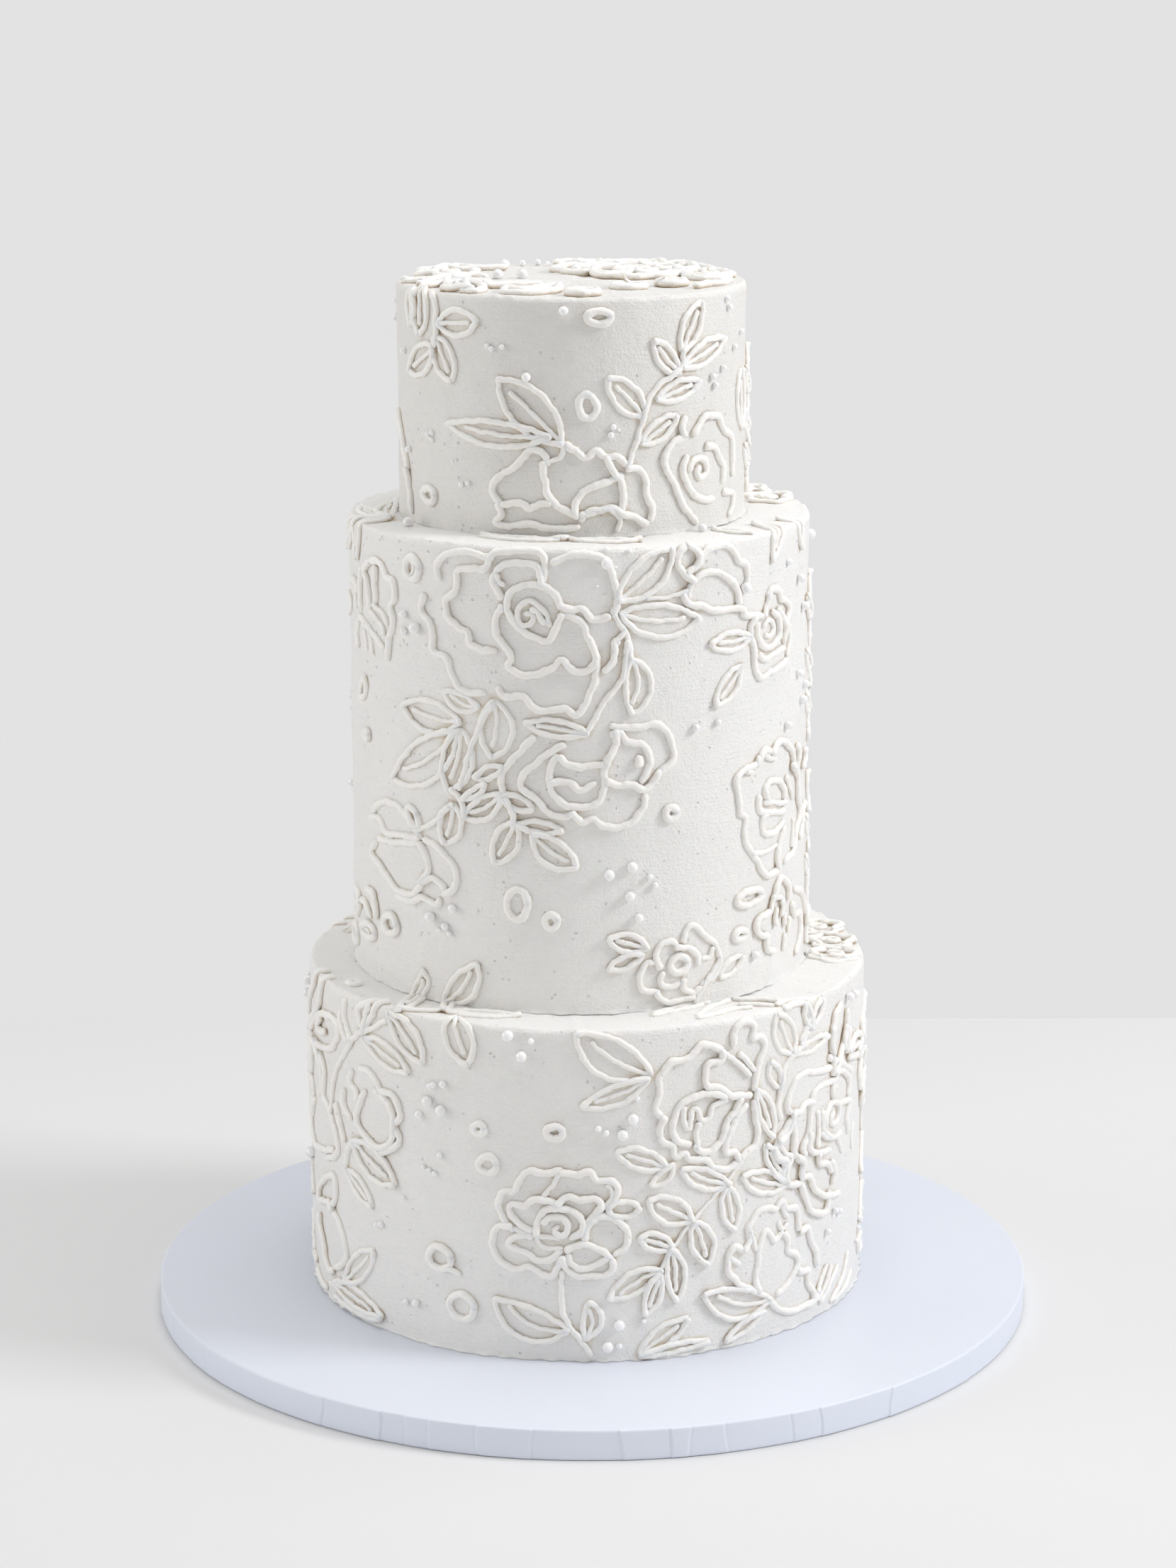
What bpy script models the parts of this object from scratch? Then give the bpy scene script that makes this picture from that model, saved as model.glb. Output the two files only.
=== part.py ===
"""A three-tier buttercream wedding cake on its covered drum board, with piped flowers.

Metres, +Z up. The origin is the centre of the board's underside and the cake's front
looks along -Y. The piped lines are laid out in millimetres on each tier's unrolled wall:
"along" runs round from the front towards the cake's own left (+X), "up" from the tier's
foot, and past the rim "up" carries on inwards over the tier's flat top.
"""

import math
from collections import namedtuple

import bmesh
import bpy
import numpy as np

MM = 0.001

# The board: a 16 inch drum of thick card in a smooth paper cover.
BOARD_RADIUS = 0.2032
BOARD_THICKNESS = 0.014
BOARD_EDGE = 0.0016
BOARD_FACETS = 80
SHARP_ANGLE = 40

# The tiers: 10, 8 and 6 inch cakes with their buttercream, each set a little to the left.
SETTING_GAP = 0.0003
Tier = namedtuple("Tier", "name radius height shift foot")
TIER_SIZES = (
    ("tier_bottom", 0.128, 0.152, -0.0024),
    ("tier_middle", 0.1038, 0.206, -0.0055),
    ("tier_top", 0.0778, 0.103, -0.0084),
)
WALL_SAGITTA = 0.00016
RIM_TURN = 1.0

# A piped line, cut to a ridge: its width on the wall, how proud it stands and how deep it is set.
LINE_WIDTH = 3.2
LINE_PROUD = 1.7
LINE_SET_IN = 0.8
FACET = 15.0
SHORTEST_LINE = 14.0
FOOT_CLEARANCE = 2.4
FACES_KEPT = 0.4
LEAST_BULGE = 0.05
LOBE_DEPTH = 0.12
PEARL_SUNK = 1 / 3

BUTTERCREAM_COLOUR = (0.80, 0.79, 0.76, 1.0)
COVER_COLOUR = (0.73, 0.76, 0.83, 1.0)


# Lines of icing, in millimetres on the unrolled wall


def petal(start, end, bulge, waves=0, ruffle=1.4):
    """One edge of a petal: an arc that stands bulge off its chord, to the left, with ruffles."""
    start, end = np.array(start, float), np.array(end, float)
    chord = end - start
    length = math.hypot(*chord)
    forward = chord / length
    left = np.array((-forward[1], forward[0]))
    depth = max(abs(bulge), LEAST_BULGE)
    radius = (length**2 / 4 + depth**2) / (2 * depth)
    half = math.atan2(length / 2, radius - depth)
    pieces = max(2, 2 * waves + 1, round(2 * radius * half / FACET))
    t = np.linspace(0, 1, pieces + 1)
    angle = (2 * t - 1) * half
    out = radius - ruffle * np.cos(2 * math.pi * waves * t) * (waves > 0) * np.sin(math.pi * t) ** 0.5
    side = math.copysign(1, bulge)
    points = (start + end) / 2 + np.outer(out * np.sin(angle), forward)
    return [points + np.outer(side * (out * np.cos(angle) - (radius - depth)), left)]


def leaf(base, tip, left, right):
    """A leaf's two edges, which stand left and right off the line from its base to its tip."""
    return petal(base, tip, left) + petal(base, tip, -right)


def stem(*points):
    """A stem: a smooth line through a few points."""
    points = np.array(points, float)
    ends = np.concatenate((points[:1] * 2 - points[1:2], points, points[-1:] * 2 - points[-2:-1]))
    steps = np.hypot(*(points[1:] - points[:-1]).T)
    line = [points[:1]]
    for i, step in enumerate(steps):
        t = np.linspace(0, 1, max(1, round(step / FACET)) + 1)[1:, None]
        a, b, c, d = ends[i : i + 4]
        turning = (2 * a - 5 * b + 4 * c - d) * t**2 + (3 * b - a - 3 * c + d) * t**3
        line.append(b + ((c - a) * t + turning) / 2)
    return [np.concatenate(line)]


def ring(centre, length, width, tilt=0):
    """A small closed loop, length and width over all."""
    turn = np.radians(np.arange(0, 361, 72))
    lean = math.radians(tilt)
    across = (length - LINE_WIDTH) / 2 * np.cos(turn)
    over = (width - LINE_WIDTH) / 2 * np.sin(turn)
    x = across * math.cos(lean) - over * math.sin(lean)
    y = across * math.sin(lean) + over * math.cos(lean)
    return [np.array(centre) + np.stack((x, y), axis=1)]


def curl(centre, radius, turns, start=0):
    """A rose's heart: a spiral that opens to the radius."""
    t = np.linspace(0.35, 1, max(4, round(5 * turns)) + 1)
    angle = math.radians(start) + 2 * math.pi * turns * t
    return [np.array(centre) + np.stack((radius * t * np.cos(angle), radius * t * np.sin(angle)), axis=1)]


def scallop(centre, reach, width, lobes, turn=0):
    """A small flower as one closed line with rounded lobes, reach long and width wide."""
    t = np.linspace(0, 1, 3 * lobes + 1)
    out = 1 + LOBE_DEPTH * np.cos(2 * math.pi * (lobes * t + 0.5))
    angle = 2 * math.pi * t + math.radians(turn)
    return [np.array(centre) + np.stack((reach * out * np.cos(angle), width * out * np.sin(angle)), axis=1)]


def rose(centre, reach, turn=0):
    """A whole rose: a curled heart, three inner petals and five ruffled outer ones."""
    centre = np.array(centre, float)
    lines = curl(centre, 0.3 * reach, 1, turn)
    for count, inner, outer, waves in ((3, 0.36, 0.66, 0), (5, 0.66, 1.0, 1)):
        for k in range(count):
            first = math.radians(turn + 40 * waves + 360 * k / count)
            last = first + 2 * math.pi * 1.04 / count
            start = centre + inner * reach * np.array((math.cos(first), math.sin(first)))
            end = centre + inner * reach * np.array((math.cos(last), math.sin(last)))
            rise = reach * (outer - inner * math.cos((last - first) / 2))
            lines += petal(start, end, -rise, waves, 0.05 * reach)
    return lines


def round_the_back(lines, middle, rise=0):
    """The same lines again on the far side: mirrored about a line half that far round, and raised."""
    return [line * (-1, 1) + (middle, rise) for line in lines]


# The bottom tier's lines


def bottom_main_rose():
    lines = curl((-12, 66), 9, 1.2, 200)
    lines += petal((-34, 62), (-11, 88), 13, 3)
    lines += petal((-11, 88), (8, 71), 10, 2)
    lines += petal((-11, 88), (-20, 76), 1)
    lines += petal((-26, 62), (-32, 75), 5)
    lines += petal((-32, 75), (-15, 73), 2, 1)
    lines += petal((-15, 73), (8, 70), 5, 2)
    lines += petal((-24, 59), (-25, 50), -10)
    lines += petal((-24, 49), (-12, 52), -2)
    lines += petal((-37, 63), (-12, 46), -14, 2)
    lines += petal((-2, 66), (11, 51), 12)
    lines += petal((-11, 56), (12, 50), 4)
    lines += petal((-11, 56), (12, 50), -13)
    lines += petal((-7, 52), (9, 48), -5.5)
    lines += leaf((12, 73), (22, 71), 3, 3)
    return lines


def bottom_peony():
    lines = curl((47, 110), 6, 1.2, 60)
    lines += petal((44, 141), (31, 114), -5, 2)
    lines += petal((33, 112), (39, 94), -4, 1)
    lines += petal((44, 98), (72, 87), -4, 2)
    lines += petal((44, 141), (75, 120), 12, 3)
    lines += petal((63, 134), (75, 118), -11)
    lines += petal((41, 116), (62, 96), -10)
    lines += petal((36, 114), (72, 119), 5)
    lines += petal((72, 112), (70, 88), -7)
    lines += petal((79, 117), (72, 87), 6)
    lines += petal((69, 141), (79, 145), 8.5)
    lines += petal((79, 143), (79, 121), 4, 1)
    return lines


def bottom_tulip():
    lines = petal((68, 47), (86, 18), -9)
    lines += petal((76, 47), (107, 48), 14, 3)
    lines += petal((86, 19), (87, 51), 4.5)
    lines += petal((87, 51), (100, 47), 0.1, 2, 2.2)
    lines += petal((100, 47), (88, 18), 10, 1)
    lines += petal((108, 48), (121, 24), 3, 1)
    lines += leaf((88, 18), (53, 27), 10, 4)
    lines += leaf((86, 15), (64, 3), 2, 3)
    lines += leaf((98, 20), (119, 12), 7, 5)
    lines += stem((88, 18), (97, 10), (110, 7), (124, 6), (135, 3))
    return lines


def bottom_right_rose():
    lines = curl((128, 92), 10, 1.2, 20)
    lines += petal((101, 118), (107, 80), -2.5, 2)
    lines += petal((101, 118), (133, 119), 2)
    lines += petal((99, 110), (117, 103), -1, 1)
    lines += petal((107, 80), (137, 79), 0.5)
    lines += petal((99, 71), (128, 50), -3)
    lines += petal((115, 70), (132, 57), -4)
    lines += petal((133, 112), (152, 100), 5)
    lines += petal((142, 98), (151, 84), 3)
    lines += petal((131, 120), (148, 135), 9)
    return lines


def bottom_left_flower():
    lines = petal((-124, 119), (-100, 85), 20, 3, 1.8)
    lines += petal((-111, 112), (-98, 89), 10, 2)
    lines += petal((-98, 89), (-111, 112), 13)
    lines += petal((-124, 119), (-120, 106), -4)
    lines += petal((-120, 106), (-127, 94), -7)
    lines += petal((-100, 85), (-125, 86), 2)
    lines += petal((-143, 43), (-143, 17), 11, 2)
    lines += petal((-172, 118), (-160, 95), 10)
    lines += ring((-151, 131), 28, 16, -8)
    return lines


def bottom_leaves():
    lines = leaf((-8, 15), (-41, 27), 12, 3)
    for base, tip, left, right in (
        ((-1, 11), (1, 28), 1.5, 6.5),
        ((28, 132), (-4, 151), 11, 6),
        ((27, 130), (-2, 118), 5.5, 3),
        ((35, 89), (13, 97), 4.5, 4.5),
        ((47, 63), (27, 74), 6, 5.5),
        ((48, 62), (55, 41), 6, 4.5),
        ((38, 51), (23, 57), 3.5, 4),
        ((37, 51), (40, 26), 5.5, 3),
        ((33, 41), (10, 29), 3.5, 6),
        ((32, 40), (26, 21), 4, 3),
        ((23, 3), (45, 17), 4.5, 4.5),
        ((79, 118), (89, 94), 5, 3),
        ((101, 130), (91, 150), 6.5, 5.5),
        ((65, 77), (42, 87), 5.5, 3),
        ((64, 76), (68, 55), 4.5, 4.5),
        ((98, 70), (72, 79), 6, 4),
        ((98, 71), (85, 91), 4, 3),
        ((101, 130), (127, 132), 2, 3),
        ((-122, 84), (-93, 71), 7, 7),
        ((-132, 70), (-108, 59), 5, 4),
        ((-112, 135), (-84, 125), 5.5, 4.5),
        ((-95, 150), (-76, 131), 7, 5),
        ((-61, 156), (-53, 134), 6.5, 7),
        ((-113, 138), (-106, 150), 3, 2),
        ((-145, 9), (-102, 6), 6, 3),
        ((-132, 14), (-107, 36), 5, 6),
    ):
        lines += leaf(base, tip, left, right)
    lines += stem((-11, 42), (-11, 30), (-10, 21), (-4, 12), (2, 3))
    lines += stem((72, 86), (62, 76), (50, 65), (38, 51), (33, 42))
    lines += stem((104, 131), (96, 125), (92, 108), (94, 101))
    lines += stem((-116, 137), (-138, 112), (-144, 92))
    lines += ring((-68, 42), 15, 14) + ring((-57, 21), 16, 15) + ring((-44, 89), 12, 11) + ring((-14, 106), 11, 9)
    return lines


def bottom_gaps():
    """Roses and leaves in the two gaps between the front's flowers and their repeat at the back."""
    lines = round_the_back(bottom_main_rose(), 190, 42) + round_the_back(bottom_main_rose(), 588, 36)
    for along in (202, 600):
        lines += stem((along, 76), (along + 2, 60), (along - 1, 44), (along - 8, 28))
        for lean, up in ((-1, 62), (1, 52), (-1, 38), (1, 24)):
            lines += leaf((along, up), (along + 22 * lean, up - 12), 4.5, 4.5)
        lines += ring((along - 22, 16), 14, 12)
    return lines


def bottom_ledge():
    """Lines on the flat ledge round the middle tier's foot."""
    lines = leaf((-71, 163), (-34, 169), 4, 4)
    lines += leaf((54, 164), (94, 159), 3.5, 3.5)
    lines += stem((-127, 160), (-112, 164), (-96, 158), (-74, 162))
    lines += stem((32, 172), (46, 169), (62, 173))
    lines += round_the_back(lines, 500)
    for along, turn in ((188, 0), (214, 30), (240, 10)):
        lines += scallop((along, 165), 13, 10, 5, turn)
        lines += curl((along, 165), 5, 1.1, turn)
    return lines


# The middle tier's lines


def middle_main_rose():
    lines = curl((-20, 179), 7, 1.2, 100)
    lines += petal((-8, 178), (-8, 185), 21.5)
    lines += petal((-18, 192), (15, 178), 1, 2)
    lines += petal((-31, 184), (-16, 193), 14)
    lines += petal((-39, 202), (-15, 193), 10)
    lines += petal((-32, 183), (-29, 158), -7.5)
    lines += petal((-29, 158), (7, 165), -7, 2)
    lines += petal((7, 165), (-5, 180), -5)
    lines += petal((-38, 201), (-39, 162), -20, 2)
    lines += petal((-66, 186), (-37, 146), -17, 3)
    lines += petal((-40, 204), (-64, 191), -8)
    lines += petal((-32, 157), (0, 136), -9, 2)
    lines += petal((0, 136), (8, 165), -3.5)
    lines += petal((-13, 203), (14, 178), 15, 1)
    return lines


def middle_second_rose():
    lines = petal((-18, 128), (-34, 97), -4)
    lines += petal((-3, 123), (-21, 98), -7)
    lines += petal((-21, 98), (27, 99), -13, 3)
    lines += petal((-9, 118), (9, 110), -20)
    lines += petal((-7, 117), (11, 110), -3)
    lines += petal((-10, 106), (8, 106), -2, 1)
    lines += petal((10, 128), (12, 109), 4)
    lines += petal((12, 109), (29, 102), -1.5)
    lines += petal((9, 126), (33, 108), 18)
    lines += petal((19, 123), (18, 106), 12)
    return lines


def middle_left_flowers():
    lines = petal((-76, 74), (-62, 49), 10)
    lines += petal((-76, 74), (-72, 56), 2)
    lines += petal((-78, 72), (-118, 58), -4)
    lines += petal((-118, 58), (-77, 57), -11, 2)
    lines += petal((-77, 57), (-78, 72), -2)
    lines += petal((-88, 46), (-64, 51), -4, 2, 1)
    lines += petal((-80, 75), (-101, 71), -14)
    lines += ring((-83, 81), 13, 9, 130)
    lines += petal((-112, 30), (-126, 38), -9)
    lines += ring((-119, 21), 16, 9)
    lines += petal((-128, 190), (-102, 158), 22, 3)
    lines += petal((-109, 190), (-94, 181), -9)
    lines += petal((-119, 171), (-126, 174), -12)
    lines += petal((-119, 169), (-106, 148), 9)
    lines += petal((-126, 170), (-120, 150), -6)
    return lines


def middle_right_flowers():
    lines = petal((50, 187), (76, 178), 12.5)
    lines += petal((50, 187), (98, 172), -3, 2)
    lines += petal((56, 200), (78, 184), 11, 1)
    lines += petal((90, 172), (113, 172), 9)
    lines += petal((86, 158), (107, 160), 13)
    lines += curl((96, 164), 6, 1.1, 40)
    lines += petal((85, 171), (85, 151), -4)
    lines += petal((86, 149), (112, 162), -7, 2)
    lines += petal((88, 106), (79, 78), -8, 2)
    lines += petal((79, 78), (102, 53), -5, 2, 1)
    lines += petal((86, 103), (100, 103), 6)
    lines += petal((103, 110), (119, 98), 5)
    lines += ring((102, 90), 18, 13, -20)
    lines += petal((89, 88), (112, 78), -3)
    lines += petal((91, 80), (110, 72), -6)
    lines += petal((119, 98), (112, 54), 14, 3)
    lines += petal((104, 64), (85, 63), 1)
    lines += petal((100, 40), (97, 20), -6, 1)
    lines += petal((97, 20), (130, 9), -3, 2)
    lines += petal((102, 38), (118, 38), 4)
    lines += petal((118, 38), (130, 10), 9)
    lines += ring((109, 28), 12, 10)
    return lines


def middle_small_rose():
    lines = ring((46, 22), 14, 9, 120)
    lines += petal((37, 31), (36, 10), -8, 1)
    lines += petal((36, 20), (46, 14), -5)
    lines += petal((46, 32), (66, 21), 7, 1)
    lines += petal((66, 21), (47, 10), 5)
    lines += petal((33, 8), (57, 8), -4)
    return lines


def middle_leaves():
    lines = leaf((17, 184), (41, 205), 6, 8)
    for base, tip, left, right in (
        ((18, 178), (54, 173.5), 5, 9),
        ((22.5, 158), (23, 134), 9, 2.5),
        ((52, 192), (48, 205), 4.5, 4.5),
        ((83, 164), (60, 162), 5, 3),
        ((77, 150), (63, 134), 5, 4),
        ((4, 126), (-23, 130), 3.5, 3.5),
        ((-53, 128), (-86, 131), 8, 6),
        ((-55, 124), (-94, 97), 12, 6),
        ((-53, 125), (-60, 97), 9, 6),
        ((-37, 139), (-38, 114), 9, 6),
        ((-44, 136), (-61, 141), 5.5, 2),
        ((-34, 98), (-52, 86), 6, 3),
        ((-57, 91), (-62, 73), 6.5, 5),
        ((-28, 86), (-37, 67), 6, 5),
        ((-27, 85), (-7, 83), 2.5, 2.5),
        ((-20, 81), (-1, 66.5), 4.5, 7),
        ((95, 43), (73, 49), 5.5, 3),
        ((30, 29), (13, 34), 4, 4),
        ((-59, 3), (-47, 20), 4, 6),
        ((-110, 27), (-91, 32), 3.5, 4),
    ):
        lines += leaf(base, tip, left, right)
    lines += stem((15, 178), (21, 168), (22.5, 158))
    lines += stem((21, 166), (19, 150), (12, 141), (4, 127))
    lines += stem((-59, 90), (-67, 82), (-78, 76))
    lines += ring((-27, 49), 12, 16) + ring((-79, 193), 11, 12)
    return lines


def middle_ledge():
    """Lines on the flat ledge round the top tier's foot, some of them over its rim."""
    lines = leaf((-10, 225), (-54, 226), 3, 3) + leaf((-4, 225), (32, 221), 3, 3)
    lines += leaf((83, 228), (86, 208), 3, 3) + leaf((112, 222), (98, 193), 4, 4)
    lines += leaf((126, 216), (129, 194), 3, 3)
    lines += round_the_back(lines, 350)
    for tip in ((-168, 211), (-146, 192), (-128, 190), (-188, 224)):
        lines += leaf((-128, 221), tip, 4, 4)
    for along, turn in ((196, 0), (222, 25)):
        lines += scallop((along, 218), 12, 9, 5, turn)
        lines += curl((along, 218), 5, 1.1, turn)
    return lines


# The top tier's lines


def top_open_flower():
    lines = petal((-12.5, 31), (-30, 14), -10, 1)
    lines += petal((-31, 14), (3, 8), 4)
    lines += petal((-31, 14), (3, 5), -8)
    lines += petal((-15, 35), (-9, 16), -1)
    lines += petal((-8, 33), (23, 32), 6, 2)
    lines += petal((24, 31), (36, 6), 4, 1)
    lines += petal((15, 34), (21, 14), 2)
    lines += petal((21, 28), (3, 9), -6)
    lines += petal((13, 21), (4, 4), 11)
    return lines


def top_rose():
    lines = curl((62, 27), 6, 1.2, 30)
    lines += petal((52, 33), (66, 14), -3)
    lines += petal((65, 36.5), (78, 20), 4)
    lines += petal((69, 50), (87, 20), 6.5, 2)
    lines += petal((53, 42), (69, 49), 6)
    lines += petal((50, 41), (60, 3), -8, 2)
    lines += petal((79, 14.5), (84, 4), 5)
    lines += petal((-110, 47), (-92, 23), 5)
    return lines


def top_leaves():
    lines = leaf((-4, 41), (-32, 68), 8, 9)
    for base, tip, left, right in (
        ((-9, 44), (-58, 47), 6.5, 4),
        ((32, 52), (16, 69), 5.5, 5.5),
        ((49, 69), (36.5, 84), 4, 4),
        ((51, 79), (62, 99), 5, 5),
        ((51, 72), (79, 82), 4.5, 4.5),
        ((38, 59), (61, 65), 4, 4),
        ((31, 40), (48, 51), 4, 4),
        ((100, 40), (98, 66), 6, 6),
        ((-78, 106), (-78, 84), 6, 6),
        ((-64, 90), (-42, 92), 5.5, 5.5),
        ((-66, 84), (-56, 66), 6, 6),
        ((-67, 79), (-88, 67), 6, 6),
    ):
        lines += leaf(base, tip, left, right)
    lines += stem((25, 31), (30, 46), (36, 62), (50, 72), (51, 79))
    lines += ring((7, 57), 13, 10, 100) + ring((12, 95), 13, 8) + ring((-72, 14), 11, 9)
    return lines


def top_disc():
    """Lines on the flat top, in millimetres across (x) and back (y) from the tier's axis."""
    lines = rose((30, 42), 27, 80)
    lines += scallop((63, 2), 10, 12, 5, 20)
    lines += scallop((-56, 22), 13, 16, 6)
    lines += petal((-42, 58), (-30, 42), 5, 1)
    lines += petal((-8, 66), (14, 60), 8, 2)
    lines += ring((5, -66), 15, 12) + ring((25, -36), 17, 14, 20) + ring((45, -17), 15, 13, -15)
    lines += leaf((-2, -52), (-30, -42), 4, 4)
    for tip, left, right in (((-74, -16), 4, 4), ((-66, -34), 5, 4), ((-48, -44), 4, 5), ((-36, -26), 5, 5)):
        lines += leaf((-52, -8), tip, left, right)
    return lines


def bottom_lines():
    front = bottom_main_rose() + bottom_peony() + bottom_tulip() + bottom_right_rose()
    front += bottom_left_flower() + bottom_leaves()
    return front + bottom_ledge() + round_the_back(front, 395) + bottom_gaps()


def middle_lines():
    front = middle_main_rose() + middle_second_rose() + middle_left_flowers() + middle_right_flowers()
    front += middle_small_rose() + middle_leaves()
    return front + middle_ledge() + round_the_back(front, 318)


def top_lines():
    front = top_open_flower() + top_rose() + top_leaves()
    return front + round_the_back(front, 245)


# The large sugar pearls: where each sits on the wall, and how far across it is
BOTTOM_PEARLS = (
    ((14, 17), 5),
    ((9, 7), 5),
    ((-34, 149), 5),
    ((-28, 140), 5),
    ((20, 112), 5),
    ((15.5, 105), 5),
    ((-73, 114), 5),
    ((-66, 111), 5),
)
MIDDLE_PEARLS = (
    ((13, 63), 5),
    ((23, 66), 5),
    ((22, 53), 4.5),
    ((26, 43), 4),
    ((-70, 38), 5),
    ((-77, 167), 5),
    ((79, 184), 5),
    ((-58, 44), 4),
)
TOP_PEARLS = (((-19, 69.5), 4.2), ((-3, 98), 4.2))


# Solids


def link(obj, collection=None):
    (collection or bpy.context.scene.collection).objects.link(obj)
    return obj


def on_wall(tier, points):
    """Places and outward directions on a tier for rows of (along, up) in millimetres."""
    radius, height = tier.radius / MM, tier.height / MM
    along, up = points[:, 0], points[:, 1]
    over = np.maximum(up - height, 0)
    reach = radius - over
    angle = along / radius
    outward = np.stack((np.sin(angle), -np.cos(angle), np.zeros(len(angle))), axis=1)
    place = outward * reach[:, None] + np.stack((0 * up, 0 * up, np.minimum(up, height)), axis=1)
    flat = np.clip((up - height) / RIM_TURN + 0.5, 0, 1)[:, None]
    normal = outward * (1 - flat) + np.array((0, 0, 1)) * flat
    normal /= np.linalg.norm(normal, axis=1, keepdims=True)
    return place * MM + np.array((tier.shift, 0, tier.foot)), normal


def on_top(tier, points):
    """Places and directions on a tier's flat top for rows of (x, y) in millimetres from its axis."""
    place = np.stack((points[:, 0], points[:, 1], np.full(len(points), tier.height / MM)), axis=1)
    normal = np.tile((0.0, 0.0, 1.0), (len(points), 1))
    return place * MM + np.array((tier.shift, 0, tier.foot)), normal


def ridge_mesh(name, place, normal):
    """A piped line as a closed ridge: two feet set into the wall and a crest at each point."""
    ahead = np.gradient(place, axis=0)
    closed = np.allclose(place[0], place[-1])
    if closed:
        ahead[0] = ahead[-1] = place[1] - place[-2]
    side = np.cross(normal, ahead)
    side /= np.linalg.norm(side, axis=1, keepdims=True)
    foot = LINE_WIDTH / 2 * (LINE_PROUD + LINE_SET_IN) / LINE_PROUD * MM
    rings = np.stack(
        (
            place + side * foot - normal * LINE_SET_IN * MM,
            place + normal * LINE_PROUD * MM,
            place - side * foot - normal * LINE_SET_IN * MM,
        ),
        axis=1,
    )
    count = len(place) - 1 if closed else len(place)
    vertices = rings[:count].reshape(-1, 3)
    faces = []
    for i in range(len(place) - 1):
        j = (i + 1) % count
        for a, b in ((0, 1), (1, 2), (2, 0)):
            faces.append((3 * i + a, 3 * j + a, 3 * j + b))
            faces.append((3 * i + a, 3 * j + b, 3 * i + b))
    if not closed:
        last = 3 * (count - 1)
        faces += [(0, 1, 2), (last + 2, last + 1, last)]
    mesh = bpy.data.meshes.new(name)
    mesh.from_pydata(vertices.tolist(), [], faces)
    work = bmesh.new()
    work.from_mesh(mesh)
    bmesh.ops.recalc_face_normals(work, faces=work.faces)
    work.to_mesh(mesh)
    work.free()
    return mesh


def pearl_mesh(name, place, normal, across):
    """A sugar pearl: a ball of twenty faces, set a third of its width into the icing."""
    work = bmesh.new()
    bmesh.ops.create_icosphere(work, subdivisions=1, radius=across / 2 * MM)
    bmesh.ops.translate(work, verts=work.verts, vec=place + normal * across * (1 / 2 - PEARL_SUNK) * MM)
    mesh = bpy.data.meshes.new(name)
    work.to_mesh(mesh)
    work.free()
    return mesh


def long_enough(line):
    return np.linalg.norm(np.diff(line, axis=0), axis=1).sum() >= SHORTEST_LINE


def joined_icing(tier, wall_lines, top_lines, pearls):
    """One solid tier: the iced cake with its piped lines and pearls joined on by a union."""
    facets = round(math.pi / math.acos(1 - WALL_SAGITTA / tier.radius))
    work = bmesh.new()
    bmesh.ops.create_cone(
        work, cap_ends=True, segments=facets, radius1=tier.radius, radius2=tier.radius, depth=tier.height
    )
    bmesh.ops.translate(work, verts=work.verts, vec=(tier.shift, 0, tier.foot + tier.height / 2))
    mesh = bpy.data.meshes.new(tier.name)
    work.to_mesh(mesh)
    work.free()
    cake = link(bpy.data.objects.new(tier.name, mesh))

    piping = bpy.data.collections.new(tier.name + "_piping")
    bpy.context.scene.collection.children.link(piping)
    for line in filter(long_enough, wall_lines):
        line = np.stack((line[:, 0], np.maximum(line[:, 1], FOOT_CLEARANCE)), axis=1)
        link(bpy.data.objects.new("line", ridge_mesh("line", *on_wall(tier, line))), piping)
    for line in filter(long_enough, top_lines):
        link(bpy.data.objects.new("line", ridge_mesh("line", *on_top(tier, line))), piping)
    for spot, across in pearls:
        place, normal = on_wall(tier, np.array([spot], float))
        link(bpy.data.objects.new("pearl", pearl_mesh("pearl", place[0], normal[0], across)), piping)

    union = cake.modifiers.new("piping", "BOOLEAN")
    union.operation = "UNION"
    union.operand_type = "COLLECTION"
    union.collection = piping
    union.solver = "MANIFOLD"
    fewer = cake.modifiers.new("fewer faces", "DECIMATE")
    fewer.ratio = FACES_KEPT
    joined = bpy.data.meshes.new_from_object(cake.evaluated_get(bpy.context.evaluated_depsgraph_get()))
    cake.modifiers.clear()
    cake.data = joined
    cake.data.name = tier.name
    for obj in list(piping.objects):
        bpy.data.objects.remove(obj)
    bpy.data.collections.remove(piping)
    return cake


def icing_material():
    material = bpy.data.materials.new("buttercream")
    material.use_nodes = True
    shader = material.node_tree.nodes["Principled BSDF"]
    shader.inputs["Base Color"].default_value = BUTTERCREAM_COLOUR
    shader.inputs["Roughness"].default_value = 0.55
    return material


def cover_material():
    material = bpy.data.materials.new("board_cover")
    material.use_nodes = True
    shader = material.node_tree.nodes["Principled BSDF"]
    shader.inputs["Base Color"].default_value = COVER_COLOUR
    shader.inputs["Roughness"].default_value = 0.5
    return material


def make_board():
    work = bmesh.new()
    bmesh.ops.create_cone(
        work,
        cap_ends=True,
        segments=BOARD_FACETS,
        radius1=BOARD_RADIUS,
        radius2=BOARD_RADIUS,
        depth=BOARD_THICKNESS,
    )
    bmesh.ops.translate(work, verts=work.verts, vec=(0, 0, BOARD_THICKNESS / 2))
    mesh = bpy.data.meshes.new("cake_board")
    work.to_mesh(mesh)
    work.free()
    board = link(bpy.data.objects.new("cake_board", mesh))
    edge = board.modifiers.new("folded edge", "BEVEL")
    edge.width = BOARD_EDGE
    edge.segments = 1
    edge.limit_method = "ANGLE"
    edge.angle_limit = math.radians(SHARP_ANGLE)
    board.data.materials.append(cover_material())
    return board


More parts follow.
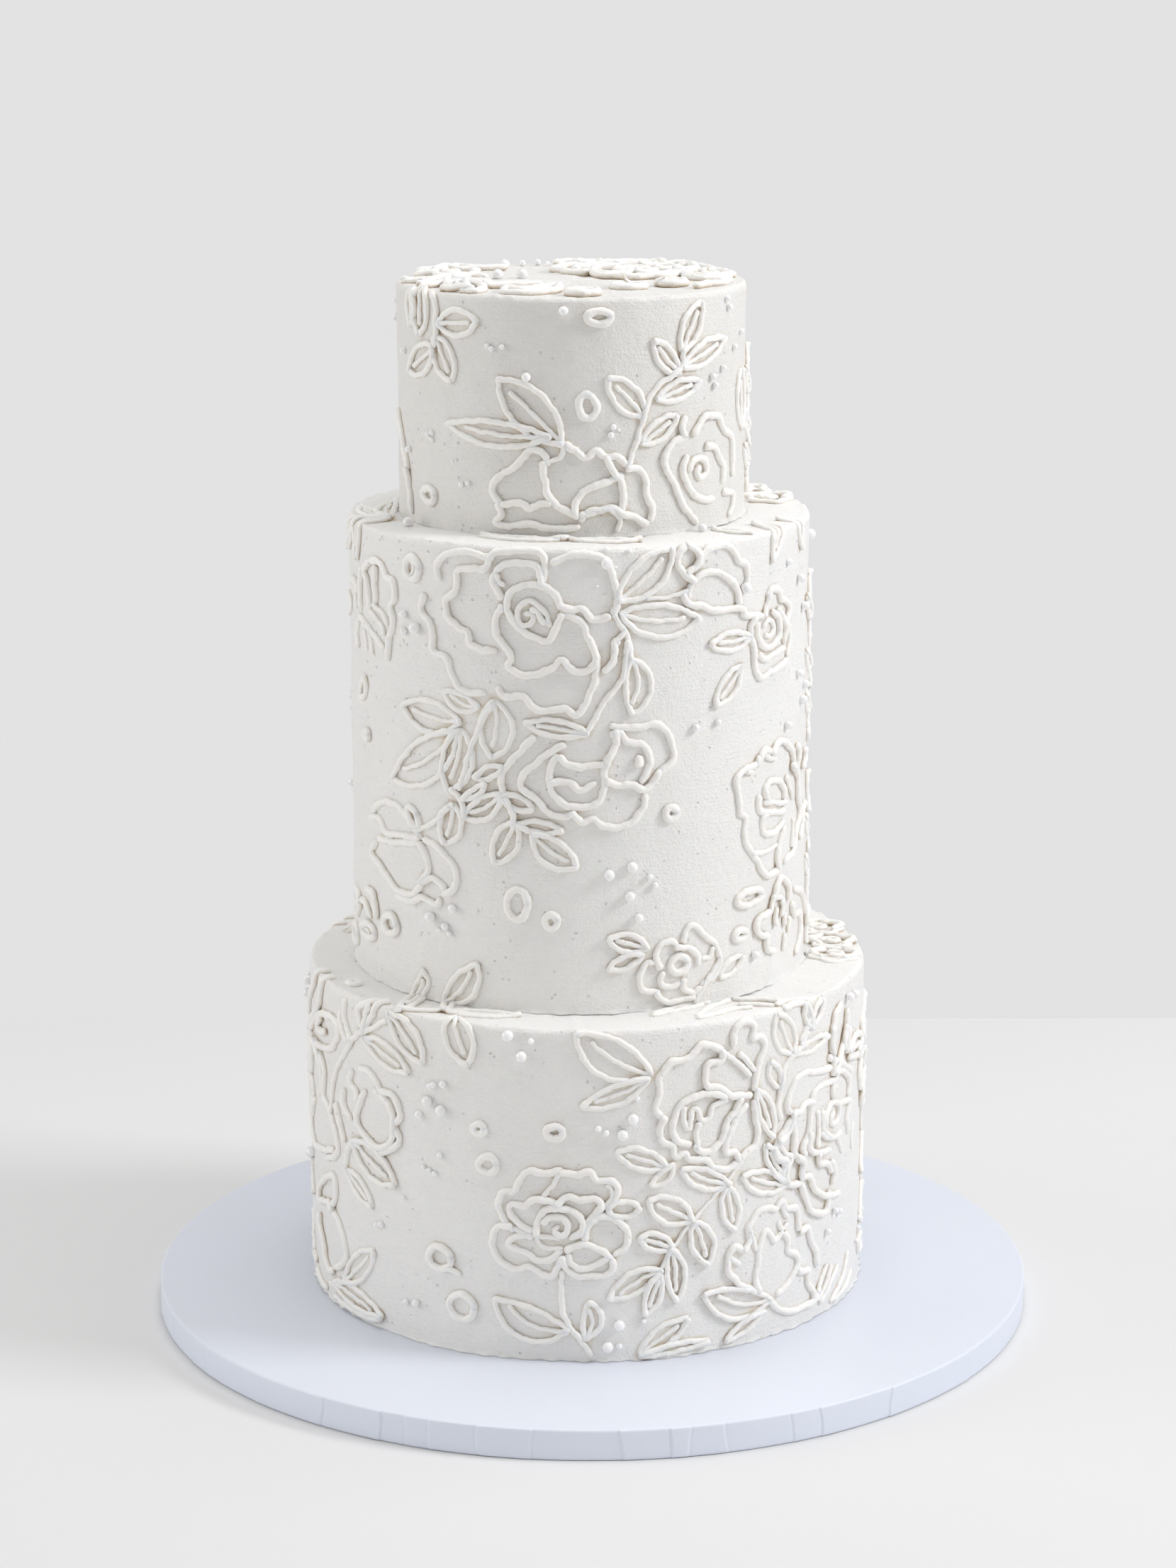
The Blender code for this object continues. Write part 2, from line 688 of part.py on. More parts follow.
def main():
    for obj in list(bpy.data.objects):
        bpy.data.objects.remove(obj)
    make_board()

    tiers = []
    foot = BOARD_THICKNESS
    for name, radius, height, shift in TIER_SIZES:
        foot += SETTING_GAP
        tiers.append(Tier(name, radius, height, shift, foot))
        foot += height

    bottom, middle, top = tiers
    icing = icing_material()
    for cake in (
        joined_icing(bottom, bottom_lines(), [], BOTTOM_PEARLS),
        joined_icing(middle, middle_lines(), [], MIDDLE_PEARLS),
        joined_icing(top, top_lines(), top_disc(), TOP_PEARLS),
    ):
        cake.data.materials.clear()
        cake.data.materials.append(icing)


main()
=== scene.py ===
"""A three-tier buttercream wedding cake with piped flowers, on its covered drum board.

Metres, +Z up, and the cake's front looks along -Y. Pieces are worked out in millimetres. The
flowers are laid out on each tier's unrolled wall: "along" runs round from the front towards +X,
"up" from the tier's foot, and past the rim "up" carries on inwards over the flat top.
"""

import math
from collections import namedtuple

import bpy
import numpy as np
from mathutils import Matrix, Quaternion, Vector


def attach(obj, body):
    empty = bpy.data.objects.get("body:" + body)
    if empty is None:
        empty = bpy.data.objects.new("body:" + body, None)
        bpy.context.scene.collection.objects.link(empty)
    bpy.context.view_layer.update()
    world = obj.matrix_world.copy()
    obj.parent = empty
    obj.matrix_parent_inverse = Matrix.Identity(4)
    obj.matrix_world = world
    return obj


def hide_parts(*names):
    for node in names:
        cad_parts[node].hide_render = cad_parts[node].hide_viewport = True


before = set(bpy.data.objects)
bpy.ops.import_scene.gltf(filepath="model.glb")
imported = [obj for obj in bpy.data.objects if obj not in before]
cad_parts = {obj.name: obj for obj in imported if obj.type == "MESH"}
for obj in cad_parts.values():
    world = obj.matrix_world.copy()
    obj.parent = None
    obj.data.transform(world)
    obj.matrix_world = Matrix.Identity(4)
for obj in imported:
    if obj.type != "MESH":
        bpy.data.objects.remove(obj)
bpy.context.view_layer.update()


# The board
# A 16 inch drum of thick card. Its pale blue paper cover lies flat on top and is pasted down
# over the edge, where the slack is pressed over into low pleats.

MM = 0.001
BOARD_RADIUS = 203.2
BOARD_HEIGHT = 14.0
BOARD_EDGE = 1.0
BOARD_COLUMNS = 2400
FRONT_PLEATS = (
    -62, -58, -46.5, -35, -26.5, -23, -20, -14, -7.5, 3.5, 9.5, 11.5, 16, 25, 29, 39.5, 55, 88,
)
OTHER_PLEATS = 26
PLEAT_RISE = 0.35
PLEAT_FADE = 12
GROOVE_DEPTH = 0.22
GROOVE_PLACE = 0.7
GROOVE_WIDTH = 0.45
COVER_TOP = (0.678, 0.703, 0.764)
COVER_EDGE = (0.72, 0.762, 0.853)


def skin(points):
    """Vertices, four-sided and three-sided faces of a closed surface.

    points holds rows of points round a loop. Each point joins its neighbours in the row and in the
    next row, and a fan to the middle of the first row and of the last one closes the two ends.
    """
    rows, columns, _ = points.shape
    index = np.arange(rows * columns).reshape(rows, columns)
    beside = np.roll(index, -1, axis=1)
    quads = np.stack((index[:-1], beside[:-1], beside[1:], index[1:]), axis=-1).reshape(-1, 4)
    first = np.stack((beside[0], index[0], np.full(columns, rows * columns)), axis=-1)
    last = np.stack((index[-1], beside[-1], np.full(columns, rows * columns + 1)), axis=-1)
    vertices = np.concatenate((points.reshape(-1, 3), points[:1].mean(1), points[-1:].mean(1)))
    return vertices, quads, np.concatenate((first, last))


def add_object(name, data):
    """A new object in the scene."""
    thing = bpy.data.objects.new(name, data)
    bpy.context.scene.collection.objects.link(thing)
    return thing


def make_piece(name, skins, material, node, slot, **marks):
    """One object from skins in millimetres. It stands for a node of the model and hides that node.

    The slot is not used. marks are values from 0 to 1, one for each vertex, which the material reads by
    name.
    """
    starts = np.cumsum([0] + [len(vertices) for vertices, _, _ in skins])
    vertices = np.concatenate([vertices for vertices, _, _ in skins]) * MM
    quads = np.concatenate([quads + start for (_, quads, _), start in zip(skins, starts)])
    threes = np.concatenate([threes + start for (_, _, threes), start in zip(skins, starts)])
    corners = np.concatenate((quads.ravel(), threes.ravel())).astype(np.int32)
    sizes = np.concatenate((np.full(len(quads), 4), np.full(len(threes), 3)))
    mesh = bpy.data.meshes.new(name)
    mesh.vertices.add(len(vertices))
    mesh.vertices.foreach_set("co", vertices.ravel().astype(np.float32))
    mesh.loops.add(len(corners))
    mesh.loops.foreach_set("vertex_index", corners)
    mesh.polygons.add(len(sizes))
    mesh.polygons.foreach_set("loop_start", (np.cumsum(sizes) - sizes).astype(np.int32))
    mesh.update(calc_edges=True)
    mesh.validate()
    mesh.shade_smooth()
    for title, values in marks.items():
        mark = mesh.attributes.new(title, "FLOAT", "POINT")
        mark.data.foreach_set("value", values.astype(np.float32))
    mesh.materials.append(material)
    piece = add_object(name, mesh)
    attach(piece, "root")
    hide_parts(node)
    return piece


def round_axis(angle, reach, height):
    """Points at an angle from the front, a reach from the axis and a height."""
    x, y = reach * np.sin(angle), -reach * np.cos(angle)
    return np.stack(np.broadcast_arrays(x, y, height), axis=-1)


def pleats(angle, height):
    """How far the cover stands off the card's edge.

    Each pleat is a step that rises within a third of a millimetre, after a narrow groove, and dies
    away over about 12 mm on its other side. It leans and curves a little over the edge's height.
    """
    rng = np.random.default_rng(7)
    others = np.linspace(99, 290, OTHER_PLEATS) + rng.uniform(-3, 3, OTHER_PLEATS)
    stand = np.zeros(np.broadcast(angle, height).shape)
    level = height - BOARD_HEIGHT / 2
    for middle in np.radians((*FRONT_PLEATS, *others)):
        away = (angle - middle + math.pi) % (2 * math.pi) - math.pi
        away = away * BOARD_RADIUS + rng.uniform(-0.16, 0.16) * level
        away = (away + rng.uniform(-0.02, 0.02) * level**2) * rng.choice((-1, 1))
        step = np.exp(-np.abs(away) / np.where(away > 0, PLEAT_FADE, PLEAT_RISE))
        groove = GROOVE_DEPTH * np.exp(-(((away + GROOVE_PLACE) / GROOVE_WIDTH) ** 2))
        stand += rng.uniform(0.2, 0.45) * step - groove
    return stand


def board_surface():
    """The board turned round its axis: underside, rounded edge with its pleats, and flat top."""
    turn = np.radians(np.linspace(0, 90, 5))
    side = np.linspace(BOARD_EDGE, BOARD_HEIGHT - BOARD_EDGE, 16)[1:-1]
    inner = BOARD_RADIUS - BOARD_EDGE
    reach = np.concatenate((
        (8, 90, 170, 198), inner + BOARD_EDGE * np.sin(turn), np.full(len(side), BOARD_RADIUS),
        inner + BOARD_EDGE * np.cos(turn), (201.2, 199, 190, 160, 120, 60, 8),
    ))
    height = np.concatenate((
        (0, 0, 0, 0), BOARD_EDGE * (1 - np.cos(turn)), side,
        BOARD_HEIGHT - BOARD_EDGE * (1 - np.sin(turn)), np.full(7, BOARD_HEIGHT),
    ))
    angle = np.linspace(0, 2 * math.pi, BOARD_COLUMNS, endpoint=False)
    reach, height = reach[:, None], height[:, None]
    near_edge = np.clip((reach - inner + 0.4) / (BOARD_EDGE + 0.2), 0, 1)
    return round_axis(angle, reach + pleats(angle, height) * near_edge, height)


def new_group(name, inputs, outputs):
    """An empty node group with named number inputs and outputs, and its two end nodes."""
    tree = bpy.data.node_groups.new(name, "ShaderNodeTree")
    for title, value in inputs.items():
        socket = tree.interface.new_socket(title, in_out="INPUT", socket_type="NodeSocketFloat")
        socket.default_value = value
    for title in outputs:
        tree.interface.new_socket(title, in_out="OUTPUT", socket_type="NodeSocketFloat")
    return tree, tree.nodes.new("NodeGroupInput"), tree.nodes.new("NodeGroupOutput")


def set_inputs(node, values):
    """Gives a node's inputs their values by name or number: plain ones, or the output of a node."""
    for title, value in values.items():
        if isinstance(value, bpy.types.NodeSocket):
            node.id_data.links.new(value, node.inputs[title])
        else:
            node.inputs[title].default_value = value


def maths(tree, operation, *values):
    """What a maths node makes of its values, which are outputs or plain numbers."""
    node = tree.nodes.new("ShaderNodeMath")
    node.operation = operation
    set_inputs(node, dict(enumerate(values)))
    return node.outputs[0]


def noise(tree, vector, scale, detail=2.0, roughness=0.5):
    """A noise value from 0 to 1 with that many cells to the metre."""
    node = tree.nodes.new("ShaderNodeTexNoise")
    set_inputs(node, {"Vector": vector, "Scale": scale, "Detail": detail, "Roughness": roughness})
    return node.outputs["Fac"]


def ramp(tree, value, low, high):
    """A value that goes evenly from 0, where the given one is low, to 1, where it is high."""
    node = tree.nodes.new("ShaderNodeMapRange")
    set_inputs(node, {"Value": value, "From Min": low, "From Max": high})
    return node.outputs["Result"]


def new_material(name, roughness):
    """A material, its tree, its shader and the object's own coordinates."""
    material = bpy.data.materials.new(name)
    material.use_nodes = True
    tree = material.node_tree
    shader = tree.nodes["Principled BSDF"]
    set_inputs(shader, {"Roughness": roughness})
    return material, tree, shader, tree.nodes.new("ShaderNodeTexCoord").outputs["Object"]


def mix_colours(tree, amount, first, second):
    """A colour between two, by a value from 0 to 1. A colour is three numbers or an output."""
    node = tree.nodes.new("ShaderNodeMix")
    node.data_type = "RGBA"
    colours = [(*colour, 1) if isinstance(colour, tuple) else colour for colour in (first, second)]
    set_inputs(node, {"Factor": amount, "A": colours[0], "B": colours[1]})
    return node.outputs["Result"]


def add_bump(tree, shader, height, distance):
    """Lets a height shape the shader's normal."""
    bump = tree.nodes.new("ShaderNodeBump")
    set_inputs(bump, {"Distance": distance, "Height": height})
    set_inputs(shader, {"Normal": bump.outputs["Normal"]})


def cover_material():
    """Smooth pale blue paper with a faint fibre, a little lighter round the edge."""
    material, tree, shader, place = new_material("board_cover", 0.42)
    level = tree.nodes.new("ShaderNodeSeparateXYZ")
    set_inputs(level, {0: place})
    edge = ramp(tree, level.outputs["Z"], (BOARD_HEIGHT - 0.1) * MM, (BOARD_HEIGHT - 1.2) * MM)
    cloud = noise(tree, place, 14.0)
    shade = maths(tree, "MULTIPLY_ADD", cloud, 0.35, edge)
    set_inputs(shader, {"Base Color": mix_colours(tree, shade, COVER_TOP, COVER_EDGE)})
    fibre = noise(tree, place, 1400.0, 4.0, 0.6)
    add_bump(tree, shader, maths(tree, "MULTIPLY_ADD", cloud, 3.0, fibre), 0.00006)
    return material


make_piece("covered_board", [skin(board_surface())], cover_material(), "cake_board", "board_cover")


# The bottom tier
# A 10 inch round cake. Its coat of ivory buttercream is scraped smooth, so it keeps faint level
# streaks, a few burst bubbles, a soft uneven rim and a ragged foot where it meets the board.

Tier = namedtuple("Tier", "name radius height shift foot seed")
BOTTOM = Tier("tier_bottom", 128.0, 152.0, -2.4, 14.3, 11)
CELL = 1.65
RIM = 2.4
RIPPLES = ((0.22, 70), (0.05, 16), (0.03, 6))
WAVES = 12
LIP = 0.4
LIP_ANGLE = 62
LIP_SPREAD = 24
FLARE = 0.75
FLARE_FADE = 0.8
WALL_GRAIN = {"Streaks": 0.5, "Pits": 0.9, "Grain": 0.8, "Lumps": 0.3}
WALL_RELIEF = 0.0007


def ripples(rng, angle, up, radius, length):
    """Smooth unevenness of about that length: cosine waves in random directions, added up.

    Each has a whole number of waves round the tier, so that the surface meets itself.
    """
    total = 0
    for turn in rng.uniform(0, 2 * math.pi, WAVES):
        count = round(2 * math.pi * radius / length * math.cos(turn))
        rise = 2 * math.pi / length * math.sin(turn)
        total = total + np.cos(count * angle + rise * up + rng.uniform(0, 2 * math.pi))
    return total * math.sqrt(2 / WAVES)


def iced_tier(tier, ledge):
    """The coat of icing, turned round the tier's axis: underside, foot, wall, rim and top.

    The profile moves along its own outward direction by ripples of three lengths. The foot flares
    by an amount that dies away in under a millimetre, and the rim has a small broken lip.
    """
    turn = np.radians(np.linspace(0, 90, 7))
    foot = np.array((-0.2, 0.3, 0.8, 1.4, 2.2))
    wall = np.linspace(3.4, tier.height - RIM, round((tier.height - RIM - 3.4) / CELL))[:-1]
    over = np.linspace(RIM, ledge, round((ledge - RIM) / CELL))[1:]
    inside = np.linspace(ledge, tier.radius - 3, 12)[1:]
    top = np.concatenate((over, inside))
    reach = np.concatenate((
        (6, tier.radius * 0.5, tier.radius - 4), np.full(len(foot) + len(wall), tier.radius),
        tier.radius - RIM * (1 - np.cos(turn)), tier.radius - top,
    ))
    height = np.concatenate((
        np.full(3, -0.2), foot, wall, tier.height - RIM * (1 - np.sin(turn)),
        np.full(len(top), tier.height),
    ))
    lean = np.concatenate((
        np.full(3, -90), np.zeros(len(foot) + len(wall)), np.degrees(turn), np.full(len(top), 90),
    ))
    lean = np.radians(lean)[:, None]
    reach, height = reach[:, None], height[:, None]
    path = height + tier.radius - reach
    angle = np.linspace(0, 2 * math.pi, round(2 * math.pi * tier.radius / CELL), endpoint=False)
    rng = np.random.default_rng(tier.seed)
    move = sum(high * ripples(rng, angle, path, tier.radius, length) for high, length in RIPPLES)
    lip = np.abs(ripples(rng, angle, 0, tier.radius, 9))
    lip = lip * np.exp(-(((np.degrees(lean) - LIP_ANGLE) / LIP_SPREAD) ** 2))
    flare = FLARE + 0.45 * ripples(rng, angle, 0, tier.radius, 7)
    flare = flare * np.exp(-np.maximum(height, 0) / FLARE_FADE)
    move = (move + LIP * lip) * (lean >= 0) * np.clip(reach / 20, 0, 1)
    reach = reach + move * np.cos(lean) + flare * (lean == 0)
    surface = round_axis(angle, reach, height + move * np.sin(lean))
    return skin(surface + np.array((tier.shift, 0, tier.foot)))


def icing_grain():
    """The close texture of buttercream: grain, soft lumps, level scraper streaks, burst bubbles."""
    tree, given, result = new_group("icing grain", WALL_GRAIN, ("Height", "Tint"))
    place = tree.nodes.new("ShaderNodeTexCoord").outputs["Object"]
    level = tree.nodes.new("ShaderNodeVectorMath")
    level.operation = "MULTIPLY"
    set_inputs(level, {0: place, 1: (1, 1, 16)})
    streak = noise(tree, level.outputs[0], 75.0, 3.0)
    streak = maths(tree, "MULTIPLY", streak, given.outputs["Streaks"])
    grain = maths(tree, "MULTIPLY", noise(tree, place, 900.0, 3.0, 0.6), given.outputs["Grain"])
    lumps = maths(tree, "MULTIPLY", noise(tree, place, 330.0), given.outputs["Lumps"])
    rough = maths(tree, "ADD", maths(tree, "ADD", streak, grain), lumps)
    cells = tree.nodes.new("ShaderNodeTexVoronoi")
    set_inputs(cells, {"Vector": place, "Scale": 240.0})
    pit = ramp(tree, cells.outputs["Distance"], 0.18, 0.07)
    pit.node.interpolation_type = "SMOOTHSTEP"
    some = ramp(tree, noise(tree, place, 120.0), 0.52, 0.60)
    pits = maths(tree, "MULTIPLY", maths(tree, "MULTIPLY", pit, some), given.outputs["Pits"])
    height = maths(tree, "SUBTRACT", rough, pits)
    set_inputs(result, {"Height": height, "Tint": noise(tree, place, 32.0, 3.0)})
    return tree


GRAIN = icing_grain()


def icing_material(name, colour, tint, crease, grain, relief):
    """Buttercream: soft, slightly see-through fat and sugar.

    Its colour drifts from the first towards the tint in soft clouds, and turns to the third colour,
    a warm painted shade, where its own mark says that it lies deep between piped lines.
    """
    material, tree, shader, _ = new_material(name, 0.5)
    set_inputs(shader, {
        "Subsurface Weight": 0.2, "Subsurface Radius": (1.0, 0.7, 0.42),
        "Subsurface Scale": 0.0016, "Specular IOR Level": 0.35,
    })
    look = tree.nodes.new("ShaderNodeGroup")
    look.node_tree = GRAIN
    set_inputs(look, grain)
    # Painted shade: the colour turns warm and dark where this vertex mark says the icing lies deep.
    mark = tree.nodes.new("ShaderNodeAttribute")
    mark.attribute_name = "crease"
    cloudy = mix_colours(tree, look.outputs["Tint"], colour, tint)
    set_inputs(shader, {"Base Color": mix_colours(tree, mark.outputs["Fac"], cloudy, crease)})
    add_bump(tree, shader, look.outputs["Height"], relief)
    return material


def ice(name, tier, ledge, material):
    """A tier's coat of icing, fine for a ledge's width in from the rim, as a piece."""
    return make_piece(name, [iced_tier(tier, ledge)], material, tier.name, "buttercream")


# The third colour is warm painted shade for the icing between and under the piped lines.
WALL_ICING = icing_material(
    "smooth_icing", (0.867, 0.859, 0.843), (0.85, 0.838, 0.81), (0.73, 0.65, 0.54),
    WALL_GRAIN, WALL_RELIEF,
)
LEDGE = 30.0
bottom_icing = ice("bottom_icing", BOTTOM, LEDGE, WALL_ICING)


# The flowers on the bottom tier
# Buttercream piped through a small round nozzle, freehand. A line starts with a blob, swells and
# thins with the hand, rides up over the lines under it and ends in a short pulled tail.

Stroke = namedtuple("Stroke", "line width peak", defaults=(0.0,))
PETAL_WIDTH = 3.4
LEAF_WIDTH = 2.8
RING_WIDTH = 3.6
STEM_WIDTH = 2.8
FINE = 2.4
THIN = 2.6
THICK = 3.8
STATION = 1.15
OVERLAP = 0.8
BLOB = 0.24
BLOB_LENGTH = 1.8
THINNING = (-0.12, 0.25)
THINNING_LENGTH = 2.5
TAIL = 4.5
SECTION = 12
SQUASH = 0.46
LIFT = 0.13
RIDE = 0.4
RIDE_REACH = 0.6
MARGIN = 6
BELL = 1.9
LOOSE = 0.10
TIGHT = 0.38
PEARL_LIFT = 0.36
# The lines' buttercream is a little lighter and yellower than the walls': partly fresher icing and
# partly painted light, for the light that the raised lines catch. Its third colour is warm painted
# shade at each line's foot.
PIPING_ICING = icing_material(
    "piped_icing", (0.91, 0.90, 0.87), (0.895, 0.875, 0.84), (0.66, 0.56, 0.44),
    {"Streaks": 0.0, "Pits": 0.6, "Grain": 0.4, "Lumps": 1.0}, 0.0005,
)


def petal(start, end, bulge, waves=0, ruffle=1.4, width=PETAL_WIDTH):
    """One edge of a petal: an arc that stands bulge off its chord, to the left, with ruffles.

    The ruffles are a cosine along the arc, square-root-of-sine high, so that they fade at its ends.
    """
    start, end = np.array(start, float), np.array(end, float)
    chord = end - start
    length = math.hypot(*chord)
    forward = chord / length
    left = np.array((-forward[1], forward[0]))
    depth = max(abs(bulge), 0.05)
    radius = (length**2 / 4 + depth**2) / (2 * depth)
    half = math.atan2(length / 2, radius - depth)
    t = np.linspace(0, 1, max(12, round(4 * radius * half)))
    angle = (2 * t - 1) * half
    out = radius - ruffle * np.cos(2 * math.pi * waves * t) * (waves > 0) * np.sin(math.pi * t) ** 0.5
    side = math.copysign(1, bulge)
    points = (start + end) / 2 + np.outer(out * np.sin(angle), forward)
    points = points + np.outer(side * (out * np.cos(angle) - (radius - depth)), left)
    return [Stroke(points, width)]


def leaf(base, tip, left, right, width=LEAF_WIDTH):
    """A leaf: its two edges, piped from the tip down, and a thinner midrib if it is long enough."""
    lines = petal(tip, base, -left, width=width) + petal(tip, base, right, width=width)
    base, tip = np.array(base, float), np.array(tip, float)
    if math.dist(base, tip) > 15 and left + right > 6.5:
        lines += petal(tip + 0.2 * (base - tip), base, (right - left) / 2, width=0.8 * width)
    return lines


def stem(*points, width=STEM_WIDTH):
    """A smooth line through a few points: each step is a cubic that runs on from the last one."""
    points = np.array(points, float)
    ends = np.concatenate((points[:1] * 2 - points[1:2], points, points[-1:] * 2 - points[-2:-1]))
    line = [points[:1]]
    t = np.linspace(0, 1, 9)[1:, None]
    for a, b, c, d in zip(ends, ends[1:], ends[2:], ends[3:]):
        squared = (2 * a - 5 * b + 4 * c - d) * t**2 / 2
        line.append(b + (c - a) * t / 2 + squared + (3 * b - a - 3 * c + d) * t**3 / 2)
    return [Stroke(np.concatenate(line), width)]


def piped_lines(*lines, width=PETAL_WIDTH):
    """Several lines of one width, each smooth through its own points."""
    return [stem(*points, width=width)[0] for points in lines]


def ring(centre, length, width, tilt=0, stroke=RING_WIDTH, peak=0.0):
    """A small loop, length and width over all, whose end laps over its start."""
    turn = np.radians(np.linspace(0, 385, 48)) + tilt
    lean = math.radians(tilt)
    across, over = (length - stroke) / 2 * np.cos(turn), (width - stroke) / 2 * np.sin(turn)
    x = across * math.cos(lean) - over * math.sin(lean)
    y = across * math.sin(lean) + over * math.cos(lean)
    return [Stroke(np.array(centre) + np.stack((x, y), axis=1), stroke, peak)]


def curl(centre, radius, turns, start=0, peak=0.0):
    """A rose's heart: a spiral that opens to the radius as it turns."""
    t = np.linspace(0.16, 1, round(30 * turns))
    angle = math.radians(start) + 2 * math.pi * turns * t
    points = np.stack((radius * t * np.cos(angle), radius * t * np.sin(angle)), axis=1)
    return [Stroke((np.array(centre) + points)[::-1], PETAL_WIDTH * 0.95, peak)]


def scallop(centre, reach, width, lobes, turn=0, stroke=2.7):
    """A small flower's edge as one closed line: an ellipse whose reach swells into rounded lobes."""
    t = np.linspace(0, 1.03, 24 * lobes)
    out = 1 + 0.12 * np.cos(2 * math.pi * (lobes * t + 0.5))
    angle = 2 * math.pi * t + math.radians(turn)
    points = np.stack((reach * out * np.cos(angle), width * out * np.sin(angle)), axis=1)
    return [Stroke(np.array(centre) + points, stroke)]


def each(shape, *rows):
    """The strokes of one kind of shape, made once from each row of its values."""
    return [stroke for row in rows for stroke in shape(*row)]


def rose(centre, reach, turn, width):
    """A whole rose: a curled heart, three inner petals and five ruffled outer ones."""
    centre = np.array(centre, float)
    lines = curl(centre, 0.3 * reach, 1.3, turn)
    for count, inner, outer, waves in ((3, 0.36, 0.66, 1), (5, 0.66, 1.0, 2)):
        for k in range(count):
            first = math.radians(turn + 40 * (count == 5) + 360 * k / count)
            last = first + 2 * math.pi * 1.04 / count
            start = centre + inner * reach * np.array((math.cos(first), math.sin(first)))
            end = centre + inner * reach * np.array((math.cos(last), math.sin(last)))
            rise = reach * (outer - inner * math.cos((last - first) / 2))
            lines += petal(start, end, -rise, waves, 0.05 * reach, width)
    return lines


def round_the_back(strokes, middle, rise=0):
    """The same strokes on the far side: mirrored, with along 0 brought to middle, and raised."""
    return [stroke._replace(line=stroke.line * (-1, 1) + (middle, rise)) for stroke in strokes]


def on_wall(tier, along, up):
    """Places and outward directions on a tier's wall, round its rim and over its flat top.

    The rim is a quarter of a circle: "up" from a rim's radius below the top to as far beyond it
    turns the direction evenly from level to upright.
    """
    turn = np.clip((up - tier.height + RIM) / (2 * RIM), 0, 1) * math.pi / 2
    over = np.maximum(up - tier.height - RIM, 0)
    reach = tier.radius - RIM * (1 - np.cos(turn)) - over
    height = np.minimum(up, tier.height - RIM) + RIM * np.sin(turn)
    angle = along / tier.radius
    place = round_axis(angle, reach, height) + np.array((tier.shift, 0, tier.foot))
    return place, round_axis(angle, np.cos(turn), np.sin(turn))


def on_disc(tier, x, y):
    """Places on a tier's flat top, x across and y back from its axis, and the upright direction."""
    place = np.stack((x + tier.shift, y, np.full(len(x), tier.foot + tier.height)), axis=-1)
    return place, np.tile((0.0, 0.0, 1.0), (len(x), 1))


def wander(rng, distance, length):
    """A smooth random value along a line, about -1 to 1: three sines near that wavelength."""
    total = 0
    for k in (0.7, 1.0, 1.6):
        total = total + np.sin(2 * math.pi * distance / (length * k) + rng.uniform(0, 2 * math.pi))
    return total / 2


def stations(rng, stroke):
    """Even points along a stroke's centre line, closer at its ends, with their widths and peaks.

    The line first reaches on a little past both ends, into its neighbours. Near each end the width
    follows a circle. The start has a blob and the end is thinner.
    """
    line = stroke.line
    back, on = line[0] - line[1], line[-1] - line[-2]
    start = line[0] + OVERLAP * back / math.hypot(*back)
    end = line[-1] + OVERLAP * on / math.hypot(*on)
    line = np.concatenate((start[None], line, end[None]))
    steps = np.linalg.norm(np.diff(line, axis=0), axis=1)
    walked = np.concatenate(((0,), np.cumsum(steps)))
    length = walked[-1]
    cap = min(stroke.width / 2, length / 3)
    turn = np.radians((10, 32, 58))
    even = np.linspace(cap, length - cap, max(3, round((length - 2 * cap) / STATION)))
    near_end = cap * (1 - np.cos(turn))
    distance = np.concatenate((near_end, even, (length - near_end)[::-1]))
    points = np.stack([np.interp(distance, walked, line[:, k]) for k in (0, 1)], axis=1)
    ahead = np.gradient(points, axis=0)
    ahead /= np.linalg.norm(ahead, axis=1, keepdims=True)
    fade = np.clip(np.minimum(distance, length - distance) / 4, 0, 1)
    sway = (0.22 * wander(rng, distance, 11) + 0.16 * wander(rng, distance, 5)) * fade
    points += np.stack((-ahead[:, 1], ahead[:, 0]), axis=1) * sway[:, None]
    near = np.clip(np.minimum(distance, length - distance) / cap, 0, 1)
    round_end = np.sqrt(1 - (1 - near) ** 2)
    width = stroke.width * (1 + 0.08 * wander(rng, distance, 17) + 0.07 * wander(rng, distance, 5.5))
    width *= 1 + rng.uniform(0, BLOB) * np.exp(-((distance / BLOB_LENGTH) ** 2))
    width *= 1 - rng.uniform(*THINNING) * np.exp(-(((length - distance) / THINNING_LENGTH) ** 2))
    tail = np.clip(1 - (length - distance) / TAIL, 0, 1) ** 2
    width *= 1 - (stroke.peak > 0) * 0.6 * tail
    peak = (stroke.peak + rng.choice((0, 0.7), p=(0.75, 0.25))) * tail
    return points, width * round_end, peak


def piped(place, outward, width, lift):
    """A piped line: an ellipse, a little lower than wide, carried along it, lifted off the icing."""
    ahead = np.gradient(place, axis=0)
    side = np.cross(outward, ahead)
    side /= np.linalg.norm(side, axis=1, keepdims=True)
    rise = np.cross(ahead, side)
    rise /= np.linalg.norm(rise, axis=1, keepdims=True)
    turn = np.linspace(0, 2 * math.pi, SECTION, endpoint=False)[:, None]
    across = side[:, None] * np.cos(turn) * (width / 2)[:, None, None]
    high = rise[:, None] * np.sin(turn) * (SQUASH * width)[:, None, None]
    return skin((place + outward * lift[:, None])[:, None] + across + high)


